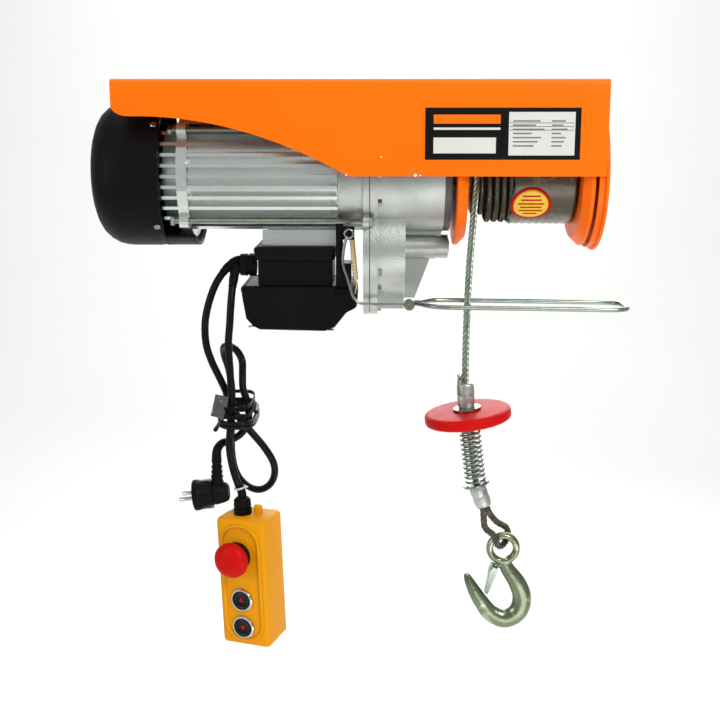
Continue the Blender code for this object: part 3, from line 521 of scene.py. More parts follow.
for k, (y, z) in enumerate(((-17.5, -181.5), (-26.5, -188.5))):
    pts = (power_points, pendant_points)[k]
    near = [p for p in pts if (p - pts[0]).length < 23]
    sweep(f"box_relief_{k}", near, lambda i, s: round_ring(5.3 - 1.1 * min(1, s / 22) +
                        (0.25 if int(s / 2.4) % 2 else -0.15), 20), "black", "frame")
near = [p for p in power_points if (p - power_points[-1]).length < 24][::-1]
sweep("plug_relief", near, lambda i, s: round_ring(5.4 - 1.2 * min(1, s / 22), 20), "black", "frame")
near = [p for p in pendant_points if (p - pendant_points[-1]).length < 26][::-1]
sweep("pendant_relief", near, lambda i, s: round_ring(5.2 - 1.0 * min(1, s / 24), 20), "black",
                    "frame")


def belt(centre, rx, ry, count=64, turns=1, rise=0.0):
    """Points round a bundle, on a rounded oblong."""
    pts = []
    for k in range(int(count * turns) + (turns != 1)):
        a = 2 * pi * k / count
        c, d = cos(a), sin(a)
        pts.append(Vector(centre) + Vector((rx * copysign(abs(c) ** 0.6, c), ry * copysign(abs(d) ** 0.6, d),
                                            0.8 * d + rise * k / count)))
    return pts


def tie(name, centre, rx, ry, width):
    """Cable tie: a flat band round the bundle, with its head."""
    flat = [(-0.6, -width / 2), (0.6, -width / 2), (0.6, width / 2), (-0.6, width / 2)]
    band = sweep(name, belt(centre, rx, ry), lambda i, s: flat, "black", "frame", closed=True, sharp=30)
    at = Vector(centre) + Vector((rx * 0.55, -ry - 0.6, 0))
    head = block(name + "_head", (-3, -2.4, -3.2), (3, 1.6, 3.2), "black", round_by=0.7,
                 turn=Matrix.Identity(3), at=at)
    return [band, head]


ties = tie("cord_tie_a", (-131.5, -15.5, -331), 17, 36.5, 3.6) + tie("cord_tie_b", (-131, -15.5, -340), 17, 37, 3.6)
wrap_pts = belt((-130, -16, -343), 18.5, 38.5, turns=2.5, rise=-4.2)
wrap_pts = [Vector((-108.5, -44, -337)), Vector((-112, -40, -340))] + wrap_pts[6:-6] + \
    [Vector((-147, -46, -351)), Vector((-151, -49, -355))]
ties.append(rod("bundle_wrap", smooth_path(wrap_pts[::3] + [wrap_pts[-1]], 2.5), 2.3, "jacket", "frame", sides=12))
gate = min(pendant_points, key=lambda p: abs(p.z + 421))
ring_pts = [gate + Vector((5.6 * cos(a), 5.6 * sin(a), 1.4 * cos(a))) for a in angles(32)]
white_tie = [rod("white_tie", ring_pts, 1.0, "white", "frame", sides=8, closed=True),
             rod("white_tie_tail", [gate + Vector((4, -4.6, 1)), gate + Vector((9, -7, 3.4))], 0.8, "white", "frame",
                 sides=8)]

# ---- sheet cover


def skirt_low(x):
    if x < -222:
        t = min(1.0, max(0.0, (x + 239) / 17))
        return -25 - 10 * sqrt(max(0.0, 1 - (1 - t) ** 2))
    if x < -11:
        return -35 - 57 * ((x + 215) / 204) ** 2 if x > -215 else -35
    return -92.0


columns = [-239 + 17 * (1 - cos(pi / 2 * k / 10)) for k in range(10)]
columns += [-222 + 211 * k / 60 for k in range(61)] + [-11 + 250 * k / 24 for k in range(1, 25)]
verts = []
for x in columns:
    low = skirt_low(x)
    section = [(79, low + (-5 - low) * k / 8) for k in range(8)]
    section += arc((74, -5), 5, 0, 90, 6) + [(74 - 148 * k / 16, 0) for k in range(1, 16)]
    section += arc((-74, -5), 5, 90, 180, 6) + [(-79, -5 + (low + 5) * k / 8) for k in range(1, 9)]
    verts += [(x, y, z) for y, z in section]
cover = add("cover_sheet", verts, grid(len(columns), len(section), False), "orange", "frame", ("frame_cover",),
            sharp=None)
thicken(cover, 3, -1)
bevel(cover, 0.5, 2, 50)

# Rating plate: black field with a white inset, and plain bars in place of any words
PLATE_Y = -79.6
block("plate_field", (63, PLATE_Y, -76), (212, PLATE_Y + 0.9, -27), "label", round_by=1.5, segments=3)
block("plate_inset", (143, PLATE_Y - 0.35, -72), (206.5, PLATE_Y + 0.4, -31), "white", round_by=1.2)
for k in range(3):
    block(f"plate_line_{k}", (144, PLATE_Y - 0.5, -41.5 - 3.4 * k), (205.5, PLATE_Y, -41.1 - 3.4 * k), "label",
          round_by=0.05)
for k, wide in enumerate((26, 22, 30, 18, 27, 24, 20)):
    low, high = -40.2 - 3.9 * k, -38.8 - 3.9 * k
    block(f"plate_row_{k}", (147, PLATE_Y - 0.55, low), (147 + wide, PLATE_Y, high), "print", round_by=0.1)
    block(f"plate_value_{k}", (184, PLATE_Y - 0.55, low), (184 + wide * 0.5, PLATE_Y, high), "print", round_by=0.1)
block("plate_mark", (71, PLATE_Y - 0.35, -42), (135, PLATE_Y, -33.5), "orange", round_by=0.3)
block("plate_stripe", (71, PLATE_Y - 0.35, -47.8), (135, PLATE_Y, -45.6), "white", round_by=0.1)
block("plate_bar", (71, PLATE_Y - 0.35, -70), (131, PLATE_Y, -55), "white", round_by=0.3)
for k, (x, z, w) in enumerate(((-13, -90.8, 1.8), (54, -91.0, 3.4), (59, -91.2, 1.6), (21, -73.5, 1.5))):
    lathe(f"paint_chip_{k}", [(0, 0), (0, w / 2), (0.12, w / 2 - 0.3), (0.12, 0)], (x, -79.05, z + 0.2), (0, -1, 0),
          "chip", "frame", steps=7)

# ---- drum, end support and wound rope

lathe("drum_body", [(240.5, 0), (240.5, 6.3), (239.8, 7.3), (230.5, 7.3), (230.5, 70), (230.2, 72.2), (229, 73),
                    (226.6, 73), (225.6, 72.4), (219, 66), (219, 29), (107, 29), (107, 66), (100.4, 72.4), (99.4, 73),
                    (97, 73), (96, 72), (96, 13), (30.7, 13), (30.7, 0)],
      AXIS, X, "orange", "drum", ("drum",), 128)
lathe("end_dish", [(242.5, 77.4), (241.9, 78), (239.9, 78), (239.3, 77.4), (239.3, 75.2), (233.4, 75.2),
                   (233, 74.8), (233, 73.4), (239.3, 70), (239.3, 20), (232.3, 20), (232.3, 12.3), (240, 12.3),
                   (242.5, 12.3)], AXIS, X, "orange", "frame", ("end_support",), 128, closed=True)
lathe("end_cap", [(241.6, 0), (241.6, 12.2), (242.6, 12.2), (242.9, 9), (243.2, 8.6), (243.2, 0)], AXIS, X, "zinc",
      "frame", (), 48)

ROPE_PITCH, PER_TURN = 7.35, 72
turns = []
for radius, first, last in ((38.6, 111.4, 214.8), (46.25, 125.6, 214.6)):
    count = int((last - first) / ROPE_PITCH * PER_TURN)
    turns.append([round_drum(first + (last - first) * i / count, radius, 2 * pi * i / PER_TURN)
                  for i in range(count + 1)])
for layer, pts in enumerate(turns):
    sweep(f"rope_layer_{layer}", pts, strand_ring(3.62, 26, 12, 6, 0.2), "grease", "drum",
          ("wound_rope",) if layer else ())
lathe("rope_core_layers", [(218.4, 29.2), (218.4, 37), (107.6, 37), (107.6, 29.2)], AXIS, X, "grease", "drum", (), 64,
      closed=True)

# Film and a round plain sticker over part of the winding
film = []
rows, cols = 30, 34
for i in range(rows + 1):
    x = 153 + 63 * i / rows
    for j in range(cols + 1):
        turn = radians(150 + 150 * j / cols)
        sag = 0.35 * sin(x * 0.9 + 3 * turn) + 0.25 * sin(x * 2.1 - 5 * turn)
        radius = 50.6 + sag * (0.7 if 0 < i < rows else 0)
        film.append(round_drum(x + 1.6 * sin(j * 0.9) * (i == 0), radius, turn))
wrap = add("winding_film", film, grid(rows + 1, cols + 1, False), "film", "drum")
thicken(wrap, 0.25, 1)


STICKER_X, STICKER_TURN, STICKER_R = 171.5, radians(215), 51.4


def on_winding(name, radii, height, look):
    """A thin round patch bent over the winding."""
    pts, steps = [], 40
    for r in radii:
        for a in angles(steps):
            turn = STICKER_TURN + r * sin(a) / STICKER_R
            pts.append(round_drum(STICKER_X + r * cos(a), 51.3 + height, turn))
    patch = add(name, pts, grid(len(radii), steps), look, "drum")
    thicken(patch, 0.2, 1)


on_winding("sticker_disc", (0.4, 5, 10, 15, 17.6), 0.0, "sticker")
on_winding("sticker_rim", (17.6, 20.4), 0.05, "red")
for k in range(6):
    high = 11 - 4.4 * k
    wide = sqrt(14.6 ** 2 - high ** 2) * (0.95, 0.8, 0.92, 0.75, 0.9, 0.7)[k]
    pts, quads = [], []
    for x in (STICKER_X - wide + 2 * wide * j / 8 for j in range(9)):
        for side in (-0.75, 0.75):
            turn = STICKER_TURN - (high + side) / STICKER_R
            pts += [round_drum(x, 51.5, turn), round_drum(x, 51.85, turn)]
    for j in range(8):
        a, b = 4 * j, 4 * j + 4
        quads += [[a, a + 1, b + 1, b], [a + 2, b + 2, b + 3, a + 3], [a + 1, a + 3, b + 3, b + 1],
                  [a, b, b + 2, a + 2]]
    quads += [[0, 2, 3, 1], [32, 33, 35, 34]]
    add(f"sticker_row_{k}", pts, quads, "red", "drum")

# ---- fan cover and motor trims

dome = [(-269.5, 0), (-269.5, 29), (-268.4, 38), (-266.6, 47), (-263.6, 54.5), (-259.5, 60.6), (-254.5, 65.4),
        (-248, 68.6), (-235, 71), (-197.3, 71), (-197.3, 73.5), (-199.5, 73.5), (-200, 73.0), (-206, 73.0),
        (-206.5, 73.5), (-235, 73.5), (-242, 72.9), (-249, 71.1), (-256, 67.4), (-262, 62), (-266, 55.6),
        (-268.7, 48.5), (-270.6, 40), (-271.8, 30), (-272, 0)]
lathe("fan_dome", dome, AXIS, X, "black", "frame", ("fan_cover",), 128, sharp=25)
lip = []
for i in range(9):
    x = -198 + 31 * i / 8
    for j in range(21):
        turn = radians(-124 + 68 * j / 20)
        lip.append(round_drum(x, 72.2, turn))
thicken(add("fan_dome_lip", lip, grid(9, 21, False), "black", "frame"), 2.2, 0)
for k, angle in enumerate((-137, -43, 43, 137)):
    turn = radians(angle)
    out = Vector((0, cos(turn), sin(turn)))
    pan_head(f"dome_screw_{k}", Vector((-203, 0, AXIS_Z)) + out * 72.8, out, 3.6, 2.2)
STUDS = [(y, AXIS_Z + z) for y in (-50, 50) for z in (45, -45)]
for k, (y, z) in enumerate(STUDS):
    hexagon(f"stud_nut_{k}", (-186, y, z), (-1, 0, 0), 8, 4)
    hexagon(f"stud_nut_front_{k}", (9.3, y, z), (1, 0, 0), 9, 4.5)
    lathe(f"stud_washer_{k}", [(-1.2, 2.6), (-1.2, 6), (0, 6), (0, 2.6)], (3.1, y, z), X, "zinc", "frame",
          steps=32, closed=True)
    rod(f"stud_thread_{k}", [(-189.9, y, z), (-186, y, z)], 2.4, "zinc", "frame", sides=16)

# Bright milled ends of the level fins
for row in range(-5, 6):
    for side in (-1, 1):
        h = row * 10.5
        inner, outer = sqrt(57 ** 2 - h ** 2), sqrt(64 ** 2 - (abs(h) + 1.6) ** 2)
        if outer - inner < 2:
            continue
        low_y, high_y = sorted((side * inner, side * (outer - 0.1)))
        block(f"fin_end_{row + 5}_{side}", (-31, low_y, AXIS_Z + h - 1.75), (-22.6, high_y, AXIS_Z + h + 1.75),
              "chrome", round_by=0.5)

# ---- gearbox


def solid_cylinder(radius, start, end, at, sides=96):
    bm = bmesh.new()
    bmesh.ops.create_cone(bm, cap_ends=True, segments=sides, radius1=radius * MM, radius2=radius * MM,
                          depth=(end - start) * MM)
    bmesh.ops.transform(bm, verts=bm.verts, matrix=Matrix.Rotation(pi / 2, 4, "Y"))
    bmesh.ops.translate(bm, verts=bm.verts, vec=Vector(((start + end) / 2, at[0], at[1])) * MM)
    return tool_from(bm)


def solid_prism(outline, start, end, axis):
    """Flat outline with a thickness along X, as (y, z), or along Y, as (x, z)."""
    bm = bmesh.new()
    rings = []
    for t in (start, end):
        rings.append([bm.verts.new(Vector((t, u, v) if axis == "x" else (u, t, v)) * MM) for u, v in outline])
    bm.faces.new(rings[0])
    bm.faces.new(rings[1][::-1])
    n = len(outline)
    for i in range(n):
        bm.faces.new([rings[0][i], rings[1][i], rings[1][(i + 1) % n], rings[0][(i + 1) % n]])
    bmesh.ops.recalc_face_normals(bm, faces=bm.faces)
    return tool_from(bm)


def tool_from(bm):
    mesh = bpy.data.meshes.new("tool")
    bm.to_mesh(mesh)
    bm.free()
    return linked("tool", mesh)


def carve(name, base, joined, removed, look, body, replaces):
    """Join and cut plain solids, then keep the result as one mesh."""
    for operation, tools in (("UNION", joined), ("DIFFERENCE", removed)):
        for tool in tools:
            mod = base.modifiers.new("cut", "BOOLEAN")
            mod.operation = operation
            mod.object = tool
    bpy.context.view_layer.update()
    mesh = bpy.data.meshes.new_from_object(base.evaluated_get(bpy.context.evaluated_depsgraph_get()))
    for tool in [base, *joined, *removed]:
        bpy.data.objects.remove(tool, do_unlink=True)
    bevel(finish_piece(linked(name, mesh), look, body, replaces, 30), 0.8, 2, 40)


def merged_circles(discs, middle, count):
    """Outline round several discs, seen from a point inside them all."""
    points = []
    for angle in angles(count):
        way_y, way_z = cos(angle), sin(angle)
        reach = 0.0
        for (y, z), radius in discs:
            dy, dz = y - middle[0], z - middle[1]
            along = dy * way_y + dz * way_z
            inside = radius ** 2 - (dy ** 2 + dz ** 2 - along ** 2)
            if inside > 0:
                reach = max(reach, along + sqrt(inside))
        points.append((middle[0] + reach * way_y, middle[1] + reach * way_z))
    return points


DRUM_AXIS, SHAFT_A, SHAFT_B, MIDDLE = (0.0, AXIS_Z), (30.64, -121.72), (0.0, -168.0), (5.0, -125.0)
rim_line = merged_circles([(DRUM_AXIS, 62), (SHAFT_B, 54), (SHAFT_A, 43), ((0, -222), 18)], MIDDLE, 160)
room_line = merged_circles([(DRUM_AXIS, 56.5), (SHAFT_B, 48.5), (SHAFT_A, 37)], MIDDLE, 120)
web = [(42, -172), (72, -172), (72, -182), (57, -222), (42, -222)]
carve("gear_case", solid_cylinder(59.5, 12, 84.6, DRUM_AXIS, 128),
      [solid_prism(rim_line, 10.2, 18, "x"), solid_cylinder(51, 14, 46, SHAFT_B),
       solid_cylinder(40, 14, 32.5, SHAFT_A), solid_cylinder(13.4, 40, 78, SHAFT_B, 64),
       solid_cylinder(12.5, 70, 91, SHAFT_B, 64), solid_prism(web, -4, 4, "y"),
       solid_cylinder(57.5, 80, 91.5, DRUM_AXIS, 128),
       solid_prism([(-14, -205), (14, -205), (14, -232), (-14, -232)], 14, 45.5, "x"),
       solid_prism([(-5, -146), (5, -146), (5, -162), (-5, -162)], 40, 84, "x")],
      [solid_prism(room_line, 9, 30, "x"), solid_cylinder(56.2, 20, 80, DRUM_AXIS),
       solid_cylinder(48.2, 20, 43.4, SHAFT_B), solid_cylinder(9.3, 40, 88, SHAFT_B, 48),
       solid_cylinder(19.3, 70, 95, DRUM_AXIS, 64)], "cast", "frame", ("gearbox_housing",))
carve("gear_case_lid", solid_prism(rim_line, 3, 9.3, "x"),
      [solid_cylinder(58, -22, 4, DRUM_AXIS, 128)] + [solid_cylinder(7, 3.2, 9.1, at, 40) for at in STUDS],
      [solid_prism(room_line, 5.5, 12, "x"), solid_cylinder(16.3, -12.3, 12, DRUM_AXIS, 64),
       solid_cylinder(10.5, -40, -10, DRUM_AXIS, 48), solid_cylinder(9.3, -17, 12, SHAFT_A, 48)],
      "cast", "frame", ("gearbox_cover",))
lathe("drum_side_plate", [(84.7, 20), (84.7, 58.6), (91.4, 58.6), (91.7, 58), (91.7, 20)], AXIS, X, "dark_cast",
      "frame", (), 128, closed=True)
for k, (centre, radius, angle) in enumerate(((DRUM_AXIS, 59.4, 150), (DRUM_AXIS, 59.4, 178), (DRUM_AXIS, 59.4, 206),
                                             (SHAFT_B, 51.4, 205), (SHAFT_B, 51.4, 232), (SHAFT_B, 51.4, 308),
                                             (SHAFT_B, 51.4, 345), (DRUM_AXIS, 59.4, 30), (DRUM_AXIS, 59.4, 90))):
    turn = radians(angle)
    at = (18, centre[0] + radius * cos(turn), centre[1] + radius * sin(turn))
    hexagon(f"case_bolt_{k}", at, X, 7, 4)
hexagon("foot_bolt", (18, 0, -233), X, 7, 4)
pan_head("boss_plug", (91, 0, -168), X, 8.5, 1.8, "steel")

# ---- terminal box

for k, (x, y) in enumerate(((-112, -40), (-112, 40), (-30, -40), (-30, 40))):
    pan_head(f"lid_screw_{k}", (x, y, -246 if x < -100 else -249.5), (0, 0, -1), 3.4, 1.6)
block("box_top_ledge", (-107.6, -45.6, -170.5), (-24.6, 45.6, -165.2), "black", round_by=1.0)
block("lid_lip", (-121.6, -45.7, -210.5), (-24, 45.7, -205.2), "black", round_by=1.0)
block("lid_nub", (-124.5, -7, -228), (-119, 7, -219), "black", round_by=1.5)
for k, (x, z) in enumerate(((-110, -211.5), (-30, -211.5))):
    block(f"lid_clip_{k}", (x - 5, -46.6, z - 6), (x + 5, -44.6, z + 6.5), "black", round_by=0.8)
lathe("box_gland_nut", [(0, 4.6), (0, 11.2), (7.5, 11.6), (7.8, 10.4), (9, 10.4), (9.3, 11.8), (16.3, 11.8),
                        (16.3, 4.6)], (-123.9, -22, -185), X, "black", "frame", ("cable_gland",), 12, closed=True)

# ---- limit arm, bail and springs

ARM_Y = -56.5
arm_route = [(x, ARM_Y, z) for x, z in (
    (-13.4, -153.0), (-16.2, -166), (-17, -180), (-13.4, -192), (-9.8, -204), (-6.4, -213.4), (-0.5, -219.3),
    (12, -220.6), (30, -220.9), (49, -221))]
rod("trip_arm", smooth_path(arm_route, 2), 1.5, "zinc", "limit_lever", ("limit_arm",), 16)
eye = [(-11 + 4.0 * cos(a), ARM_Y, -149.5 + 4.0 * sin(a)) for a in angles(32)]
rod("trip_arm_eye", eye, 1.45, "zinc", "limit_lever", sides=12, closed=True)
lathe("trip_knob", [(0, 0), (0, 4.6), (0.8, 5.5), (8.4, 5.5), (9.2, 4.8), (9.2, 2.2), (7.6, 2.0), (7.6, 0)],
      (50, -52.3, -221), (0, -1, 0), "zinc", "limit_lever", steps=40)


def bail_point(x, y):
    """The bail lies in a plane that dips slightly away from the arm."""
    return (x, y, -221 - 3 * (x - 51) / 217)


side = [(53, -46), (60.5, -51.5), (68, -61), (76, -67.6), (88, -70), (120, -70), (170, -70), (220, -70), (252, -70),
        (262, -67.5), (268.5, -60.5), (270, -46)]
loop = side + [(x, -92 - y) for x, y in reversed(side[1:-1])]
bail_pts = smooth_path([bail_point(x, y) for x, y in loop + loop[:1]], 2.5)[:-1]
rod("bail_loop", bail_pts, 2.5, "zinc", "limit_lever", ("limit_bail",), 16, closed=True)


def coil(start, end, radius, count, per_turn):
    """Points along a coil between two places."""
    start, end = Vector(start), Vector(end)
    way = (end - start).normalized()
    across = way.cross(Vector(Y)).normalized()
    up = way.cross(across)
    steps = int(count * per_turn)
    pts = []
    for i in range(steps + 1):
        a = 2 * pi * i / per_turn
        pts.append(start.lerp(end, i / steps) + (across * cos(a) + up * sin(a)) * radius)
    return pts


SPRING_Y = -49
top_at, low_at = Vector((-9.4, SPRING_Y, -141)), Vector((-3.6, SPRING_Y, -203))
spring_pts = coil(top_at.lerp(low_at, 0.12), top_at.lerp(low_at, 0.9), 2.3, 34, 12)
hook_up = [Vector((x, SPRING_Y, z)) for x, z in ((-9.6, -139.5), (-8.2, -141), (-8.4, -145))]
hook_low = [low_at + Vector((-0.6, 0, 4)), low_at + Vector((0.4, -1, 0)), low_at + Vector((-1.6, -5.8, -7))]
trip = rod("trip_spring", hook_up + spring_pts + hook_low, 0.55, "gold", "frame", ("limit_spring",), 8, free=True)
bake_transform(trip)

# ---- rope end

seat = Vector((111.3, ROPE_Y, -332.0))
disc_mid = Vector((112.2, ROPE_Y, -339.0))
spring_low = Vector((122.3, ROPE_Y, -413.0))
down = (spring_low - disc_mid).normalized()


def oval(name, start, end, rx, ry, look, body, replaces=()):
    """Pressed oval sleeve with soft ends and shallow press bands."""
    start, end = Vector(start), Vector(end)
    pts = [start.lerp(end, k / 24) for k in range(25)]

    def at(i, s):
        t = i / 24
        ease = 1 - 0.16 * (max(0, 1 - t * 10) + max(0, 1 - (1 - t) * 10))
        band = 1 - 0.035 * (sin(t * pi * 5) > 0.3)
        return [(rx * ease * band * cos(a), ry * ease * band * sin(a)) for a in angles(32)]
    return sweep(name, pts, at, look, body, replaces)


oval("top_ferrule", (108.9, ROPE_Y, -305), (110.6, ROPE_Y, -331), 9.1, 6.8, "cast", "rope_end", ("upper_ferrule",))
lathe("seat_washer", [(-1.8, 4), (-1.8, 14.1), (-1.5, 14.5), (0.3, 14.5), (0.6, 14.1), (0.6, 4)], seat, down, "zinc",
      "rope_end", (), 64, closed=True)
rod("dead_end", smooth_path([(103.8, ROPE_Y - 3, -316), (102.9, ROPE_Y - 3, -306), (103.2, ROPE_Y - 4, -300)], 2),
    2.6, "rope", "rope_end", sides=12)
for k in range(9):
    a = 2.4 * k
    tip = Vector((103.2 + 3.2 * cos(a), ROPE_Y - 4 + 2.2 * sin(a), -293.5 - 3 * ((k * 37) % 5) / 5))
    rod(f"dead_wire_{k}", smooth_path([(103.2 + cos(a), ROPE_Y - 4 + sin(a), -301), tip], 3), 0.45, "rope",
        "rope_end", sides=6)
lathe("bump_disc", [(1.0, 5.3), (1.0, 40), (1.4, 42.6), (2.6, 44.4), (4.6, 45), (9.4, 45), (11.4, 44.4), (12.6, 42.6),
                    (13, 40), (13, 5.3)], seat, down, "red", "stop", ("stop_disc",), 128, closed=True)
disc_end = seat + down * 13
rope_low = [seat + down * 0.9, disc_mid, disc_mid.lerp(spring_low, 0.5), spring_low - down * 1.4]
sweep("core_rope", smooth_path(rope_low, 1.1), strand_ring(ROPE_R, 34), "rope", "rope_end", ("lower_rope",))
buffer = rod("buffer_spring", coil(disc_end + down * 1.6, spring_low - down * 2.7, 10.1, 12.5, 26), 1.35, "zinc",
             "rope_end", ("bumper_spring",), 10, free=True)
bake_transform(buffer)
foot_way = Vector((0.342, 0, -0.94)).normalized()
oval("low_ferrule", spring_low + foot_way * 1.4, spring_low + foot_way * 27, 8.9, 7.2, "cast", "rope_end",
     ("lower_ferrule",))
lathe("low_washer_plate", [(-1.2, 3.8), (-1.2, 14.1), (-0.9, 14.5), (0.9, 14.5), (1.2, 14.1), (1.2, 3.8)], spring_low,
      (down * 0.35 + foot_way * 0.65), "zinc", "rope_end", (), 64, closed=True)
EYE = Vector((152.7, ROPE_Y, -485.3))
spread = Vector((0.57, 0.82, 0)).normalized()
loop_top = spring_low + foot_way * 29.5
loop_low = Vector((EYE[0] - 1.5, ROPE_Y, -483.0))
legs = []
for way_sign in (-1, 1):
    legs.append([loop_top + spread * way_sign * 3.8,
                 loop_top + Vector((1.5, 0, -6)) + spread * way_sign * 5.5,
                 loop_top + Vector((6.5, 0, -18)) + spread * way_sign * 11.8,
                 loop_low + Vector((-1.0, 0, 15)) + spread * way_sign * 13.6,
                 loop_low + Vector((0, 0, 4.2)) + spread * way_sign * 9.6])
route = [spring_low + foot_way * 24 + spread * -3.0] + legs[0] + [loop_low] + legs[1][::-1]
route += [spring_low + foot_way * 24 + spread * 3.0]
sweep("eye_loop", smooth_path(route, 1.2), strand_ring(ROPE_R, 34), "grease", "rope_end", ("rope_eye",))

# ---- hook and latch

hook_line = [(x, ROPE_Y, z) for x, z in (
    (152.9, -496), (154.2, -501), (159, -510), (169, -525), (174.5, -542), (170, -558.5), (157, -566),
    (142, -560.5), (131, -547), (122.5, -533), (116.5, -521), (113.6, -514.6))]
radii = [6.4, 6.9, 8.0, 9.6, 10.5, 10.5, 10.4, 9.5, 8.4, 7.0, 5.0, 2.9]
fine = smooth_path(hook_line, 1.6)


def hook_radius(p):
    best = min(range(len(hook_line) - 1), key=lambda i: (Vector(hook_line[i]) - p).length
               + (Vector(hook_line[i + 1]) - p).length - (Vector(hook_line[i + 1]) - Vector(hook_line[i])).length)
    a, b = Vector(hook_line[best]), Vector(hook_line[best + 1])
    t = max(0, min(1, (p - a).dot(b - a) / (b - a).length_squared))
    return radii[best] * (1 - t) + radii[best + 1] * t


verts, sides = [], 28
for i, p in enumerate(fine):
    way = (fine[min(i + 1, len(fine) - 1)] - fine[max(i - 1, 0)]).normalized()
    across = way.cross(Vector(Y)).normalized()
    r = hook_radius(p)
    for a in angles(sides):
        verts.append(p + across * r * cos(a) + Vector(Y) * r * 0.72 * sin(a))
faces = tube(len(fine), sides)
rounds, tubes = 56, 20
for a in angles(rounds):
    for b in angles(tubes):
        r = 14.2 + 4.0 * cos(b)
        verts.append(EYE + Vector((r * cos(a), 5.0 * sin(b), r * sin(a))))
faces += grid(rounds, tubes, loop=True, first=len(fine) * sides)
hook = add("lifting_hook", verts, faces, "hook", "hook", ("hook",), sharp=None)
mod = hook.modifiers.new("weld", "REMESH")
mod.mode = "VOXEL"
mod.voxel_size = 0.0009
mod.use_smooth_shade = True
mod = hook.modifiers.new("soften", "SMOOTH")
mod.iterations = 6

pivot, tip = Vector((143.0, ROPE_Y, -507.0)), Vector((135.6, ROPE_Y, -536.5))
long_way = (tip - pivot).normalized()
wide = Vector(Y)
thick = long_way.cross(wide)
verts = []
stations = ((-0.06, 5.0, 2.4), (0.06, 6.2, 3.9), (0.22, 6.0, 3.9), (0.5, 4.6, 3.0), (0.85, 3.8, 2.5), (1.0, 2.8, 1.7))
for t, half_wide, half_thick in stations:
    p = pivot + (tip - pivot) * t
    verts += [p + wide * a * half_wide + thick * b * half_thick for a, b in ((-1, -1), (1, -1), (1, 1), (-1, 1))]
bevel(add("safety_latch", verts, tube(len(stations), 4), "zinc", "latch", ("hook_latch",)), 0.5, 2)
lathe("latch_pin", [(-8.6, 0), (-8.6, 2.6), (-7.4, 2.6), (-7.4, 1.7), (7.4, 1.7), (7.4, 2.6), (8.6, 2.6), (8.6, 0)],
      pivot, Y, "zinc", "hook", (), 24)
rod("latch_lug", [(154, ROPE_Y, -501.5), (149, ROPE_Y, -504), (142.6, ROPE_Y, -507.2)], 3.4, "hook", "hook")

# ---- pendant


CASE_MID, FACE_Y = -71.5, -23.0


def held(points):
    """Points of the pendant's own frame, placed where it hangs."""
    return [PENDANT_AT + TURN @ Vector(p) for p in points]


def rounded_rectangle(w, h, r, count=6):
    pts = []
    for cx, cz, first in ((w - r, h - r, 0), (-w + r, h - r, 90), (-w + r, -h + r, 180), (w - r, -h + r, 270)):
        pts += arc((cx, cz), r, first, first + 90, count)
    return pts


def case_half(name, levels, replaces):
    """Rounded case half from (depth, inset) levels, closed at its outer face and at its seam."""
    pts = []
    for depth, inset in levels:
        ring_pts = rounded_rectangle(28.5 - inset, 71.5 - inset, max(1.5, 6 - inset))
        pts += held([(u, depth, CASE_MID + v) for u, v in ring_pts])
    m = len(ring_pts)
    quads = grid(len(levels), m) + [list(range(m)), [(len(levels) - 1) * m + k for k in range(m)]]
    return add(name, pts, quads, "yellow", "frame", replaces, sharp=28)


front_levels = [(-0.3, 0.5), (-0.5, 0.0), (-18.0, 0.0), (-19.8, 0.35), (-21.4, 1.3), (-22.5, 2.7), (-23.0, 4.6)]
back_levels = [(0.3, 1.2), (0.5, 0.9), (18.0, 0.9), (19.8, 1.2), (21.4, 2.0), (22.5, 3.3), (23.0, 5.2)]
case_half("pendant_shell_front", front_levels, ("pendant_front",))
case_half("pendant_shell_back", back_levels, ("pendant_back",))
rim_pts = held([(u, -23.1, CASE_MID + v) for u, v in rounded_rectangle(21.5, 64, 20, 12)])
sweep("pendant_face_bead", rim_pts, lambda i, s: [(1.9 * cos(a), 2.5 * sin(a)) for a in angles(16)],
      "yellow", "frame", closed=True)
out = TURN @ Vector((0, -1, 0))


def on_face(u, v, lift=0.0):
    return PENDANT_AT + TURN @ Vector((u, FACE_Y - lift, v))


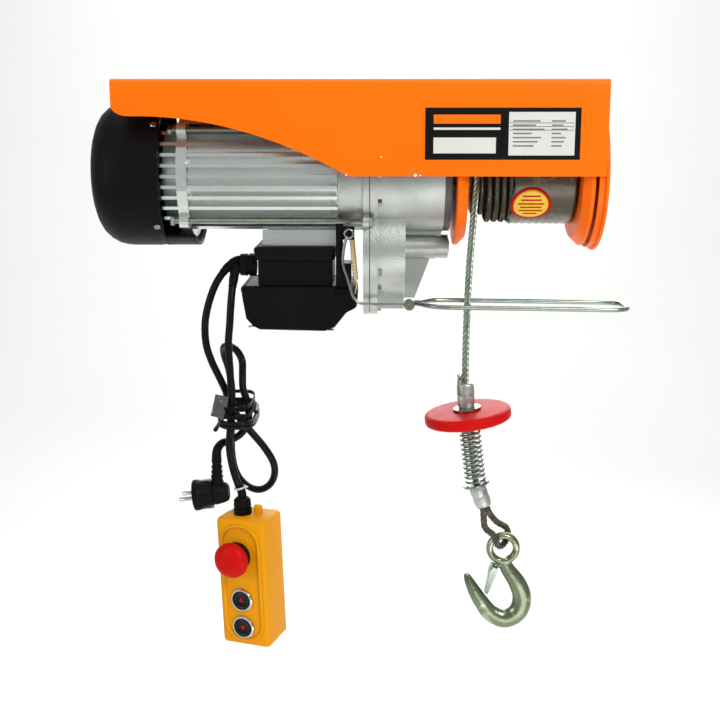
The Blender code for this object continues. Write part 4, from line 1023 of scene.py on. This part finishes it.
lathe("estop_collar", [(0, 9.4), (0, 14.5), (1.2, 15.2), (4.6, 14.2), (5.4, 12.6), (5.4, 9.4)], on_face(-3, -40), out,
      "gloss_black", "frame", (), 64, closed=True)
lathe("estop_head", [(-6, 0), (-6, 9), (10.9, 9), (11, 16.6), (11.8, 18.2), (13.6, 19), (17.6, 18.7), (21, 16.6),
                     (23.4, 12.8), (24.6, 8), (25, 0)], on_face(-3, -40), out, "red", "estop", ("estop_button",), 96)
for tag, v, sign in (("up", -90, 1), ("down", -121, -1)):
    lathe(f"{tag}_bezel", [(0, 10.6), (0, 12.0), (0.6, 12.6), (2.4, 12.6), (3.2, 11.8), (3.2, 10.6)], on_face(-1, v),
          out, "chrome", "frame", (), 64, closed=True)
    lathe(f"{tag}_cap", [(-6, 0), (-6, 10), (1.8, 10), (2.8, 9.4), (3.3, 8.2), (2.8, 7.2), (2.8, 0)], on_face(-1, v),
          out, "gloss_black", tag, (f"{tag}_button",), 64)
    mark = [(-2.6, -1.6 * sign), (2.6, -1.6 * sign), (0, 3.0 * sign)]
    pts = [on_face(-1 + a, v + b, 2.85) for a, b in mark] + [on_face(-1 + a, v + b, 3.15) for a, b in mark]
    add(f"{tag}_arrow", pts, [[0, 1, 2], [5, 4, 3], [0, 3, 4, 1], [1, 4, 5, 2], [2, 5, 3, 0]], "red", tag)
for k, (u, v) in enumerate(((-23.5, -6.5), (23.5, -6.5), (-23.5, -136.5), (23.5, -136.5))):
    lathe(f"case_screw_{k}", [(0, 0), (0, 2.3), (0.25, 2.1), (0.25, 0)], PENDANT_AT + TURN @ Vector((u, 22.6, v)),
          TURN @ Vector(Y), "zinc", "frame", (), 20)
gland_prof = [(0.3, 2), (0.3, 9.3), (1.4, 9.6), (7.0, 9.6), (7.6, 8.2), (9.2, 8.2), (9.6, 9.5), (15.6, 8.9),
              (18, 6.8), (18, 4.2), (9, 4.2), (9, 2)]
lathe("pendant_gland_nut", gland_prof, PENDANT_AT + TURN @ Vector((*GLAND_AT, 0)), TURN @ Vector((0, 0, 1)), "black",
      "frame", ("pendant_gland",), 24, closed=True, sharp=25)
block("hang_tab", (7, -2.5, -1), (16, 2.5, 10), "yellow", round_by=1.6, segments=3, turn=TURN,
      at=PENDANT_AT)

# Worn tag on the bundle
block("lead_tag", (-9, -0.4, -13), (5, 0.4, 11), "tag", round_by=0.3,
      turn=Matrix.Rotation(radians(14), 3, "Y"), at=Vector((-143.5, -50.5, -329)))

# ---- floor

BEND_Y, BEND_R, FLOOR_Z = 2.0, 2.5, -1.25
sweep_line = [(-8, FLOOR_Z), (BEND_Y, FLOOR_Z)]
sweep_line += [(BEND_Y + BEND_R * sin(radians(a)), FLOOR_Z + BEND_R - BEND_R * cos(radians(a)))
               for a in range(6, 91, 6)] + [(BEND_Y + BEND_R, 9)]
mesh = bpy.data.meshes.new("floor")
mesh.from_pydata([(x, y, z) for x in (-12, 12) for y, z in sweep_line], [],
                 [(i, i + 1, len(sweep_line) + i + 1, len(sweep_line) + i) for i in range(len(sweep_line) - 1)])
mesh.shade_smooth()
floor = linked("floor", mesh)
floor.data.materials.append(surface("studio_floor", (0.86, 0.86, 0.85), 0.6, vary=0.01, size=2))
